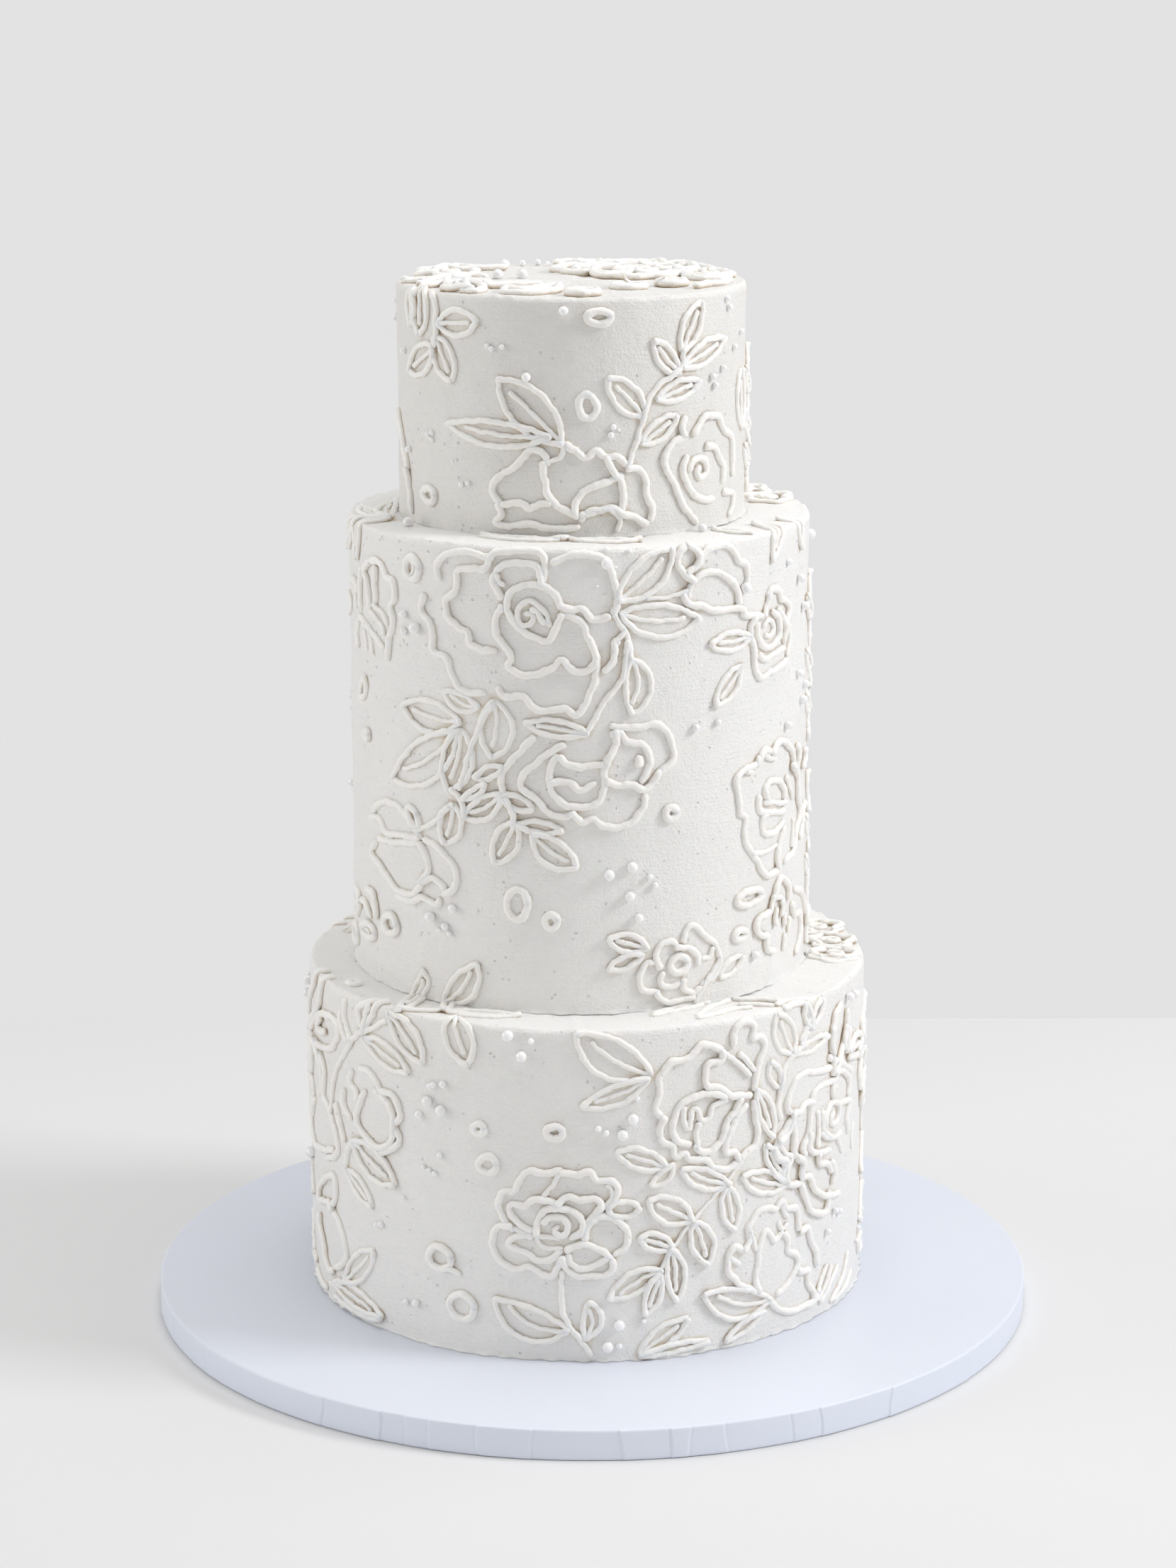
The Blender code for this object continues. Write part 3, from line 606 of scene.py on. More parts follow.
def mark_creases(icing, tier, strokes):
    """Marks the smooth icing for painted shade, from 0 to 1 by how closely lines stand round it.

    The strokes' lengths are added up in 1 mm cells of the unrolled tier, spread by a bell curve
    (a product of the two Fourier transforms) and read back at each vertex: 0 where that is loose
    or less, 1 where it is tight or more.
    """
    points = np.concatenate([stroke.line for stroke in strokes])
    steps = np.concatenate([np.gradient(stroke.line, axis=0) for stroke in strokes])
    length = np.linalg.norm(steps, axis=1)
    round_cells = round(2 * math.pi * tier.radius)
    up_cells = round(tier.height + tier.radius) + 2 * MARGIN
    cells = np.zeros((up_cells, round_cells))
    rows = np.clip(points[:, 1] + MARGIN, 0, up_cells - 1).astype(int)
    np.add.at(cells, (rows, points[:, 0].astype(int) % round_cells), length)
    y, x = np.ogrid[:up_cells, :round_cells]
    far = np.minimum(x, round_cells - x) ** 2 + np.minimum(y, up_cells - y) ** 2
    bell = np.exp(-far / (2 * BELL**2)) / (2 * math.pi * BELL**2)
    spread = np.fft.irfft2(np.fft.rfft2(cells) * np.fft.rfft2(bell), s=cells.shape)
    corners = np.empty(len(icing.data.vertices) * 3, np.float32)
    icing.data.vertices.foreach_get("co", corners)
    x, y, z = (corners.reshape(-1, 3) / MM - (tier.shift, 0, tier.foot)).T
    along = np.arctan2(x, -y) * tier.radius
    on_top = z > tier.height - 1.2
    up = np.where(on_top, tier.height + tier.radius - np.hypot(x, y), z)
    rows = np.clip(up + MARGIN, 0, up_cells - 1).astype(int)
    close = spread[rows, along.astype(int) % round_cells]
    marks = np.clip((close - LOOSE) / (TIGHT - LOOSE), 0, 1).astype(np.float32)
    # The mark is painted shade: the icing's material darkens and warms by it.
    icing.data.attributes.new("crease", "FLOAT", "POINT").data.foreach_set("value", marks)


def painted_root_shade(skins):
    """Painted shade: 1 where a line meets what it lies on, 0 from just above its section's middle up.
    """
    turn = np.linspace(0, 2 * math.pi, SECTION, endpoint=False)
    around = np.clip((0.1 - np.sin(turn)) / 0.5, 0, 1)
    marks = []
    for vertices, _, _ in skins:
        marks.append(np.tile(around, (len(vertices) - 2) // SECTION))
        marks.append((0.3, 0.3))
    return np.concatenate(marks)


def pipe_all(tier, strokes, layer, seed, stand=0.0):
    """Pipes strokes one after another onto a tier. layer turns flat points into places on it.

    A line's middle lies a share of its width above the icing, and stand higher. Close to an
    earlier line it rides up by a share of its width that falls off as a bell curve.
    """
    rng = np.random.default_rng(seed)
    laid, skins = np.empty((0, 2)), []
    for stroke in strokes:
        points, width, peak = stations(rng, stroke)
        lift = LIFT * stroke.width + stand + peak
        if len(laid):
            gap = np.min(np.linalg.norm(points[:, None] - laid[None], axis=2), axis=1)
            ride = RIDE * stroke.width * np.exp(-((gap / (RIDE_REACH * stroke.width)) ** 2))
            lift = lift + np.convolve(np.pad(ride, 2, "edge"), np.ones(5) / 5, "valid")
        laid = np.concatenate((laid, points))
        skins.append(piped(*layer(tier, points[:, 0], points[:, 1]), width, lift))
    return skins


def make_flowers(name, tier, piping):
    """Piping as one piece, with painted shade at each line's foot."""
    make_piece(name, piping, PIPING_ICING, tier.name, "buttercream", crease=painted_root_shade(piping))


def bottom_main_rose():
    lines = piped_lines(
        ((-32, 60), (-37, 65), (-39, 71), (-37, 77), (-32, 78), (-29, 84), (-24, 88), (-18, 87),
         (-11, 89)),
        ((-11, 88), (-4, 87), (1, 88), (5, 84), (11, 84), (13.5, 80), (12, 75), (9, 71)),
        ((-33, 62), (-39, 61), (-42, 56), (-41, 49), (-37, 44), (-30, 42), (-25, 44), (-20, 40.5),
         (-15, 40), (-13, 44), (-11, 48)),
    )
    lines += piped_lines(
        ((-12, 87), (-14, 83), (-17, 79), (-20, 75)), ((9, 82), (11, 80), (11, 76), (8, 72)),
        width=FINE,
    )
    lines += piped_lines(
        ((-24, 60), (-29, 63), (-34, 68), (-33, 72), (-27, 71.5), (-23, 75), (-18, 75), (-13, 73)),
        ((-13, 73), (-8, 77), (-3, 75), (3, 76), (6.5, 73), (4, 69), (0, 65)),
        ((-24, 58), (-31, 57.5), (-34.5, 53), (-30, 51), (-25, 49.5), (-21, 46.5), (-15, 48),
         (-11, 52)),
        ((-1, 57), (0, 62), (3, 66), (8, 68), (14, 65), (18, 59), (17, 53), (12, 50)),
        ((-9, 52), (-5, 54), (0, 55), (6, 52), (11, 48)),
        ((-11, 49), (-9, 44), (-5, 40.5), (1, 40), (8, 40.5), (11.5, 44), (11, 48)),
        ((-8, 50), (-7, 46), (-3, 43.5), (2, 44.5), (9, 48)),
    )
    lines += piped_lines(
        ((-32, 61), (-25, 58.5), (-18, 58), (-12, 57)), ((-22, 58), (-20, 54), (-16, 52.5), (-11, 53)),
        width=FINE,
    )
    lines += piped_lines(
        ((-22, 59), (-21.5, 65), (-18, 70), (-12, 71.5), (-6, 70), (-2, 66), (-2, 61), (-7, 57.5)),
        ((-19, 64), (-16, 67), (-11, 67), (-8, 64), (-9, 60), (-12, 59), (-14, 61), (-12.5, 63)),
    )
    lines += leaf((9, 71), (23, 71), 3.2, 4.2)
    return lines


def bottom_peony():
    lines = piped_lines(
        ((61, 139), (57, 141), (52, 143), (48, 140), (44, 137), (37, 136), (32, 130), (32, 122),
         (30, 116), (33, 111)),
        ((34, 112), (32, 107), (33, 101), (38, 98), (39, 93), (44, 94), (46, 91), (53, 90), (57, 86),
         (63, 84), (70, 86)),
        ((67, 140), (67, 145), (70, 149.5), (75, 150), (78, 147), (77, 142), (81, 141.5), (84, 138),
         (81, 131), (79, 124), (78, 118)),
        ((61, 139), (61, 134.5), (55, 134), (53, 129), (54.5, 123.5), (60, 122), (66, 117.5),
         (76, 116)),
        ((63, 117), (57, 120), (49, 119.5), (42, 117), (39, 112), (38, 105), (40, 100), (46, 98)),
        ((71, 115), (68, 110), (64, 106), (62, 99), (57, 94), (51, 94), (48, 97)),
        ((74, 112), (69, 108), (66, 102), (63, 95), (64, 91), (68, 91.5), (70, 87)),
        ((78, 113), (79, 105), (80.5, 97), (78, 92), (71, 88)),
    )
    lines += piped_lines(
        ((43, 115), (43, 109), (45.5, 105), (46.5, 110), (47, 114), (50, 113), (51, 108), (55, 109),
         (57, 114), (63, 116)),
        ((50, 107), (49, 102), (49, 96)), ((63, 137), (68, 133), (76, 125)),
        ((70, 136), (75, 131), (78, 127)),
        width=LEAF_WIDTH,
    )
    return lines


def bottom_tulip():
    lines = piped_lines(
        ((73, 44), (68, 47), (65, 42), (65, 36), (69, 31), (73, 27), (80, 24)),
        ((73, 44), (76, 48), (76, 55), (81, 61), (87, 61), (91, 60), (95, 62.5), (98, 58), (104, 57),
         (106, 52), (106, 46)),
        ((81, 23), (79.5, 29), (81, 37), (82, 45), (85, 51), (88, 48), (91, 45), (95, 48)),
        ((96, 47), (99, 43), (99, 38), (104, 35), (106, 31), (102, 25), (97, 21), (92, 19)),
        ((107, 45), (113, 45), (115, 39), (119, 33), (121, 25)),
        ((106, 27), (110, 25), (114, 24), (113, 19), (118, 13), (118, 9)),
        ((88, 17), (93, 12), (99, 9), (105, 8), (112, 8), (118, 9), (121, 12)),
    )
    lines += piped_lines(
        ((95, 60), (97, 56), (99, 54)), ((76, 53), (78, 48), (80, 43)), ((66, 42), (71, 38)),
        ((93, 53), (95, 49), (98, 51)), ((121, 12), (125, 17), (129, 22)),
        ((122, 8), (129, 13), (134, 20)), ((124, 6), (132, 11), (141, 18)),
        ((134, 3), (147, 10), (154, 20)), ((137, 3), (150, 4), (160, 9)),
        width=THIN,
    )
    return lines + each(leaf, ((88, 18), (53, 27), 10, 4), ((85, 13), (64, 3), 2, 3))


def bottom_right_rose():
    lines = piped_lines(
        ((130, 116), (119, 117), (109, 119), (103, 117), (98, 109), (98, 105), (101, 102)),
        ((101, 100), (96, 95), (91, 89), (92, 83), (97, 81)),
        ((101, 98), (103, 92), (102.5, 85), (105, 80), (109, 77)),
        ((136, 109), (126, 109.5), (118, 109), (115, 105), (114, 98), (113, 91), (109, 84), (110, 80)),
        ((101, 103), (106, 101.5), (110, 104.5), (115, 104)),
        ((113, 90), (113, 84), (116, 80), (122, 78), (131, 77)),
        ((136, 113), (147, 109), (152, 103), (151, 97)), ((141, 96), (152, 94), (149, 88), (151, 79)),
        ((120, 78), (122, 73), (129, 71), (133, 66)), ((129, 121), (141, 115), (157, 107)),
        ((96, 152), (104, 152.5), (109, 151), (112, 143), (106, 135)),
        ((89, 89), (91, 84), (97, 81), (95, 76), (98, 70), (109, 67)),
        ((107, 67), (111, 60), (115, 53), (126, 48), (130, 52), (131, 57)),
        ((104, 81), (108, 78), (108, 71), (114, 69), (118, 62), (128, 56), (141, 53)),
        ((132, 71), (135, 66), (134, 60)), ((124, 97), (125, 88), (133, 82), (142, 82)),
        ((133, 112), (132, 120), (132, 130), (135, 139), (141, 143)),
        ((134, 112), (139, 118), (147, 127), (149, 138)), ((151, 129), (150, 124), (149, 118)),
        ((150, 118), (164, 122), (178, 116), (166, 112), (151, 115)),
        ((154, 118), (163, 117), (170, 116)),
    )
    lines += piped_lines(
        ((120, 98), (121, 91), (120, 82)), ((123, 87), (129, 83), (135, 82)),
        ((139, 79), (142, 75), (144, 72)), ((159, 81), (157, 76), (157, 70)),
        ((108, 77), (107, 73), (108, 69)), ((122, 147), (116, 141), (106, 133)),
        ((132, 134), (131, 128), (132, 122)), ((147, 131), (145, 126), (144, 121)),
        width=THIN,
    )
    return lines + curl((134, 92), 8.5, 1.5, 20) + ring((134, 104), 6, 9)


def bottom_left_flower():
    lines = piped_lines(
        ((-116, 120), (-109, 120), (-104, 117), (-101, 113), (-94, 113), (-90, 108), (-89, 103),
         (-93, 99), (-90, 94), (-92, 89), (-101, 84)),
        ((-105, 112), (-99, 110), (-94, 105), (-93, 96), (-96, 89), (-103, 86), (-111, 88), (-119, 95),
         (-116, 104), (-112, 110)),
        ((-122, 117), (-124, 112), (-119, 108), (-118, 104)), ((-130, 106), (-130, 99), (-124, 94)),
        ((-138, 97), (-135, 91), (-130, 82)), ((-117, 85), (-123, 83), (-127, 78), (-129, 71)),
        ((-161, 116), (-152, 110), (-153, 97), (-145, 91), (-137, 80), (-139, 72), (-152, 67)),
        ((-145, 45), (-136, 40), (-131, 32), (-130, 26), (-136, 20), (-143, 17)),
        ((-166, 35), (-165, 30), (-159, 24), (-155, 17), (-150, 13), (-144, 15)),
        ((-187, 19), (-183, 11), (-174, 9)), ((-172, 5.5), (-162, 3), (-154, 3)),
        ((-143, 44), (-146, 47), (-158, 44), (-164, 43), (-165, 48), (-159, 53), (-147, 60), (-141, 61),
         (-140, 53), (-144, 46)),
        ((-143, 3), (-130, 2.5), (-117, 2.5), (-107, 3), (-103, 6)),
        ((-187, 84), (-181, 72), (-172, 67), (-155, 70), (-141, 74)),
        ((-187, 106), (-186, 97), (-183, 89), (-176, 86), (-170, 89)),
        ((-184, 119), (-170, 127), (-160, 133), (-150, 136), (-140, 137), (-134, 134), (-136, 128),
         (-143, 122), (-155, 119), (-168, 118), (-183, 118)),
        ((-155, 133), (-162, 128), (-158, 126), (-149, 128)),
        ((-150, 156), (-155, 147), (-158, 140), (-165, 133), (-184, 121)),
        ((-161, 157), (-168, 146), (-182, 135), (-187, 127), (-186, 119)),
        ((-127, 149), (-128, 142), (-126, 137), (-122, 131)), ((-132, 142), (-131, 136), (-126, 130)),
        ((-104, 156), (-110, 152), (-116, 148), (-115, 143), (-112, 138)),
        ((-101, 157), (-104, 151), (-108, 144), (-112, 138)), ((-108, 151), (-110, 146), (-111, 141)),
    )
    return lines + petal((-172, 118), (-160, 95), 10)


def bottom_leaves():
    lines = each(
        leaf,
        ((-8, 15), (-41, 27), 12, 3), ((-1, 11), (1, 28), 1.5, 6.5), ((28, 132), (-4, 151), 11, 6),
        ((27, 130), (-2, 118), 5.5, 3), ((35, 89), (13, 97), 4.5, 4.5), ((38, 90), (28, 81), 4, 1),
        ((47, 63), (27, 74), 6, 5.5), ((48, 62), (55, 41), 6, 4.5), ((38, 51), (23, 57), 3.5, 4),
        ((37, 51), (40, 26), 5.5, 3), ((33, 41), (10, 29), 3.5, 6), ((32, 40), (26, 21), 4, 3),
        ((23, 3), (45, 17), 4.5, 4.5), ((23, 2), (55, 5), 2.5, 1.5), ((79, 118), (89, 94), 5, 3),
        ((93, 116), (87, 129), 3, 3), ((101, 130), (91, 150), 6.5, 5.5), ((65, 77), (42, 87), 5.5, 3),
        ((64, 76), (68, 55), 4.5, 4.5), ((98, 70), (72, 79), 6, 4), ((98, 71), (85, 91), 4, 3),
        ((101, 130), (127, 132), 2, 3), ((113, 139), (109, 151), 2, 2), ((114, 140), (122, 150), 2, 2),
        ((-122, 84), (-93, 71), 7, 7), ((-128, 69), (-108, 57), 4, 4),
        ((-112, 135), (-84, 125), 5.5, 4.5), ((-95, 150), (-76, 131), 7, 5),
        ((-61, 156), (-53, 134), 6.5, 7), ((-145, 9), (-102, 6), 6, 3), ((-132, 14), (-107, 36), 5, 6),
    )
    lines += stem((-11, 42), (-11, 30), (-10, 21), (-4, 12), (2, 3))
    lines += stem((72, 86), (62, 76), (50, 65), (38, 51), (33, 42), width=1.9)
    lines += stem((104, 131), (96, 125), (92, 108), (94, 101))
    lines += petal((92, 91), (101, 103), -3)
    lines += stem((92, 91), (97, 84), (101, 82), (97, 74), (98, 71))
    lines += stem((-116, 137), (-138, 112), (-144, 92))
    lines += stem((-114, 137), (-104, 142), (-96, 147))
    lines += ring((-68, 42), 15, 14) + stem((-63, 38), (-58, 36))
    return lines + each(
        ring,
        ((-57, 21), 16, 15), ((-44, 89), 12, 11), ((-14, 106), 11, 9), ((-48, 105), 9, 8),
    )


def bottom_gaps():
    """Roses and leaves in the two gaps between the front's flowers and their repeat at the back."""
    lines = round_the_back(bottom_main_rose(), 190, 42) + round_the_back(bottom_main_rose(), 588, 36)
    for along in (202, 600):
        lines += stem((along, 76), (along + 2, 60), (along - 1, 44), (along, 23))
        for lean, up in ((-1, 62), (1, 52), (-1, 38), (1, 24)):
            lines += leaf((along, up), (along + 22 * lean, up - 12), 4.5, 4.5)
        lines += ring((along - 22, 16), 14, 12)
    return lines


def spray(along, low, high, lean):
    """A curved stem with leaves to both sides in turn, a pair at its tip and a loop under its foot."""
    rise = (high - low) / 3
    bend = (along + lean, low + rise), (along - 2 * lean, high - rise)
    lines = stem((along - 6 * lean, low), *bend, (along, high))
    for side, share in ((-1, 0.15), (1, 0.35), (-1, 0.55), (1, 0.8)):
        up = low + share * (high - low)
        lines += leaf((along, up), (along + 17 * side * lean, up + 9), 4.5, 3.5)
    lines += leaf((along, high), (along + 5 * lean, high + 20), 4, 4.5)
    lines += leaf((along, high), (along - 14 * lean, high + 11), 3.5, 4)
    return lines + ring((along + 8 * lean, low - 5), 13, 10)


def bottom_ledge():
    """Lines on the flat ledge round the middle tier's foot."""
    lines = leaf((-71, 163), (-34, 169), 4, 4)
    lines += piped_lines(
        ((35, 172), (48, 176.5), (60, 177.5), (71, 177)),
        ((34, 169), (43, 171.5), (55, 173.5), (65, 175)), ((54, 162), (62, 168), (70, 172), (83, 175)),
        ((53, 159), (65, 161), (74, 163), (83, 160)), ((86, 175), (90, 171), (97, 166), (99, 159)),
        ((82, 167), (88, 163), (93, 156)), ((94, 155), (102, 157), (112, 153)),
        width=LEAF_WIDTH,
    )
    lines += round_the_back(lines, 500)
    lines += piped_lines(
        ((-91, 152), (-96, 161), (-100, 168), (-103, 175)), ((-93, 161), (-95, 167), (-99, 175)),
        ((-90, 152), (-89, 158), (-91, 165), (-95, 175)), ((-91, 153), (-83, 157), (-73, 162)),
        ((-73, 162), (-76, 167), (-81, 175)), ((-72, 162), (-72, 168), (-76, 175)),
        width=LEAF_WIDTH,
    )
    lines += ring((-137, 161), 11, 8)
    for along, turn in ((188, 0), (214, 30), (240, 10)):
        lines += scallop((along, 165), 13, 10, 5, turn) + curl((along, 165), 5, 1.1, turn)
        lines += petal((along - 9, 160), (along + 7, 160), -4, 1)
        lines += petal((along - 8, 171), (along + 8, 170), 3, 1)
    return lines


BOTTOM_PEARLS = (
    (14, 17, 5), (9, 7, 5), (-34, 149, 5), (-28, 140, 5), (20, 112, 5), (15.5, 105, 5), (-73, 114, 5),
    (-66, 111, 5), (14, 7, 3), (25, 18, 2.5), (-24, 147, 3), (22, 121, 2.5), (8.5, 106, 3), (5, 108, 3),
    (-72, 121, 3), (-70, 122, 3), (-65, 123, 3.5), (-78, 107, 3.5), (-67, 90, 3), (-76, 83, 2.5),
    (-73, 82, 2.5), (-70, 81, 2.5), (-105, 49, 3), (-102, 50, 3), (-87, 17, 3), (-81, 18, 3.5),
    (-88, 66, 2), (130, 38, 3), (137, 46, 3), (142, 44, 3), (150, 144, 4), (158, 143, 4),
)


def back_pearls(tier, first, last, count):
    """Seeded pearls scattered in small groups over the side away from the front."""
    rng = np.random.default_rng(tier.seed + 50)
    spots = []
    for _ in range(count):
        along, up = rng.uniform(first, last), rng.uniform(6, tier.height - 6)
        for _ in range(rng.integers(2, 5)):
            spot = along + rng.uniform(-9, 9), up + rng.uniform(-6, 6)
            spots.append((*spot, rng.choice((2.5, 3, 4, 5))))
    return spots


def pearls(tier, spots, layer):
    """Sugar pearls: balls of latitude rings between their two poles, set a seventh into the icing."""
    rng = np.random.default_rng(tier.seed + 90)
    tilt = np.radians(np.linspace(-78, 78, 9))[:, None]
    turn = np.linspace(0, 2 * math.pi, 18, endpoint=False)
    ball = round_axis(turn, np.cos(tilt), np.sin(tilt))
    x, y, across = np.array(spots, float).T
    place, outward = layer(tier, x, y)
    skins = []
    for centre, size in zip(place + outward * (PEARL_LIFT * across)[:, None], across / 2):
        skins.append(skin(centre + ball * size * rng.uniform(0.96, 1.03, 3)))
    return skins


def pearl_material():
    """Pearl dust over a hard sugar ball: bright, smooth and a little uneven."""
    material, tree, shader, place = new_material("sugar_pearl", 0.2)
    set_inputs(shader, {
        "Coat Weight": 0.6, "Coat Roughness": 0.08, "Subsurface Weight": 0.25,
        "Subsurface Radius": (1.0, 0.9, 0.8), "Subsurface Scale": 0.001,
    })
    dust = mix_colours(tree, noise(tree, place, 500.0), (0.93, 0.925, 0.92), (0.88, 0.87, 0.87))
    set_inputs(shader, {"Base Color": dust})
    add_bump(tree, shader, noise(tree, place, 1600.0), 0.00003)
    return material


def dress(tier, icing, front, back, seed, spots, names):
    """Pipes a tier's flowers, paints shade into the icing between them and sets its pearls.

    The front's and the back's flowers are two pieces, to keep the faces of each down.
    """
    piping = pipe_all(tier, front + back, on_wall, seed)
    make_flowers(names[0], tier, piping[:len(front)])
    make_flowers(names[1], tier, piping[len(front):])
    # Painted shade on the icing between the lines.
    mark_creases(icing, tier, front + back)
    make_piece(names[2], pearls(tier, spots, on_wall), PEARL, tier.name, "sugar_pearl")


PEARL = pearl_material()
bottom_front = bottom_main_rose() + bottom_peony() + bottom_tulip() + bottom_right_rose()
bottom_front += bottom_left_flower() + bottom_leaves()
bottom_back = round_the_back(bottom_front, 395) + bottom_gaps()
bottom_front += bottom_ledge()
dress(
    BOTTOM, bottom_icing, bottom_front, bottom_back, 1,
    (*BOTTOM_PEARLS, *back_pearls(BOTTOM, 165, 630, 16)),
    ("bottom_flowers", "bottom_back_flowers", "bottom_pearls"),
)


# The middle tier
# The tallest cake, 8 inches across, iced as the bottom one is and set a little to the left on it.

MIDDLE = Tier("tier_middle", 103.8, 206.0, -5.5, 166.6, 12)
middle_icing = ice("middle_icing", MIDDLE, LEDGE, WALL_ICING)


# The flowers on the middle tier
# A large open rose and a second one under it, with leaves to both sides, smaller flowers round
# both sides, and leaves that lie on the ledge under the top tier and hang over the rim.


def middle_main_rose():
    lines = piped_lines(
        ((-72, 182), (-74, 175), (-68, 169), (-67, 158), (-60, 156), (-57, 148), (-51, 142),
         (-41, 142)),
        ((-64, 190), (-64, 197), (-57, 202), (-48, 203), (-38, 201)),
        ((-38, 201), (-41, 196.5), (-53, 195), (-55, 186), (-60, 181), (-59, 174), (-54, 170),
         (-49, 168), (-48, 163), (-42, 161), (-36, 161)),
        ((-35, 145), (-32, 141), (-24, 142), (-19, 136.5), (-11, 136), (-6, 137), (-1, 134), (3, 139),
         (7, 149), (8, 160)),
        ((-11, 200), (-5, 203), (4, 204), (12, 201), (15, 193), (17, 186), (15, 177)),
        ((-38, 201), (-35, 204), (-26, 205), (-17, 205), (-14, 200), (-16, 190)),
        ((-33, 184), (-37, 192), (-33, 198), (-25, 200), (-17, 198), (-15.5, 191)),
        ((-33, 181), (-36, 174), (-35, 167), (-31, 162.5), (-29, 158), (-30, 154), (-24, 151),
         (-17, 152), (-11, 154.5), (-7, 158), (-1, 153), (5, 154), (7.5, 160), (4, 168), (2, 174),
         (-7, 179)),
        ((-7, 181), (-12, 189), (-21, 190.5), (-29, 187), (-30.5, 180), (-26, 172), (-18, 167.5),
         (-12, 167), (-7, 178)),
        ((-8, 182), (-3, 180), (2, 180.5), (6, 175.5), (13, 177)),
    )
    lines += piped_lines(
        ((-12, 173), (-15, 180), (-21, 183.5), (-26, 179), (-25, 173.5), (-20.5, 173), (-19.5, 177),
         (-22.5, 178)),
        ((-35, 194), (-34, 191), (-32, 190)), ((-20, 180), (-18, 179), (-16, 176), (-14, 174)),
        ((17, 166), (15, 162), (15.5, 158), (12, 153)),
        width=LEAF_WIDTH,
    )
    return lines


def middle_second_rose():
    lines = piped_lines(
        ((-19, 124), (-24, 119), (-30, 112), (-34, 106), (-33, 98)),
        ((-6, 121), (-13, 117), (-19, 112), (-24, 107), (-25, 101), (-20, 98), (-16, 94), (-12, 90),
         (-6, 89), (-2, 91)),
        ((-3, 91), (1, 87), (6, 88), (10, 85), (17, 84), (23, 86), (28, 92), (29, 98)),
        ((-9, 116), (-12, 111), (-12.5, 104), (-10, 98), (-5, 94), (3, 93.5), (9, 96), (11, 102),
         (11, 110), (13, 116)),
        ((-12, 104), (-7, 105), (-3, 103.5), (1, 101), (7, 104)),
        ((-8, 116), (-5, 112.5), (0, 111), (6, 112), (12, 112)),
        ((14, 129), (21, 128), (27, 128), (33, 129), (38, 126), (41, 120), (42, 113), (35, 107)),
        ((14, 125), (18, 126), (21, 122), (27, 120.5), (31, 115), (30, 108), (27, 104)),
        ((16, 127), (16, 121), (13, 115), (12, 111)),
        ((12, 105), (17, 102.5), (23, 103), (28, 100), (32, 103), (35, 108)),
    )
    lines += piped_lines(((26, 115), (26, 111)), width=4.2)
    return lines


def middle_left_flowers():
    lines = piped_lines(
        ((-112, 76), (-109, 81), (-100, 85), (-91, 85), (-84, 81), (-75, 73)),
        ((-112, 76), (-104, 75.5), (-100, 71), (-88, 72), (-76, 73)),
        ((-109, 65), (-114, 59), (-105, 54), (-98, 50), (-92, 46), (-83, 46), (-77, 50), (-74, 56)),
        ((-106, 67), (-92, 68), (-77, 71)), ((-76, 71), (-73, 66), (-71, 59), (-75, 53)),
        ((-75, 53), (-70, 56), (-66, 55), (-62, 52)),
        ((-91, 44), (-83, 43), (-75, 46), (-67, 44), (-65, 47)),
        ((-73, 73), (-65, 70), (-58, 64), (-56, 58), (-58, 52), (-62, 50)),
        ((-110, 192), (-102, 192), (-97, 187), (-92, 185), (-91, 178), (-94, 174), (-92, 168),
         (-95, 160), (-97, 150)),
        ((-110, 191), (-114, 190), (-118, 187), (-115, 183), (-113, 177), (-112, 171)),
        ((-106, 190), (-107, 183), (-106, 177), (-107, 173)),
        ((-121, 187), (-123, 180), (-123, 175), (-122, 168)),
        ((-123, 165), (-115, 162), (-110, 160), (-106, 158), (-100, 155)),
        ((-125, 163), (-127, 160), (-128, 155), (-126, 151)), ((-126, 176), (-131, 179), (-137, 180)),
        ((-121, 40), (-115, 40), (-113, 38), (-111, 34), (-111, 29)),
        ((-129, 33), (-123, 33), (-120, 31), (-117, 28)), ((-129, 32), (-133, 28), (-136, 24)),
        ((-141, 36), (-134, 35), (-132, 32), (-137, 28)),
    )
    lines += piped_lines(
        ((-107, 173), (-104, 171), (-100, 170), (-97, 166)),
        ((-111, 169), (-106, 167), (-101, 164), (-99, 161)), ((-112, 160), (-111, 157), (-110, 151)),
        ((-119, 162), (-117, 156), (-116, 151)), ((-129, 168), (-130, 174), (-135, 176), (-142, 177)),
        ((-151, 171), (-141, 169), (-141, 165), (-151, 161)), ((-125, 21), (-121, 21), (-118, 20)),
        width=THIN,
    )
    return lines + each(
        ring,
        ((-80, 82), 14, 8, 130), ((-98, 29), 14, 12), ((-119, 21), 17, 10), ((-142, 14), 15, 13),
    )


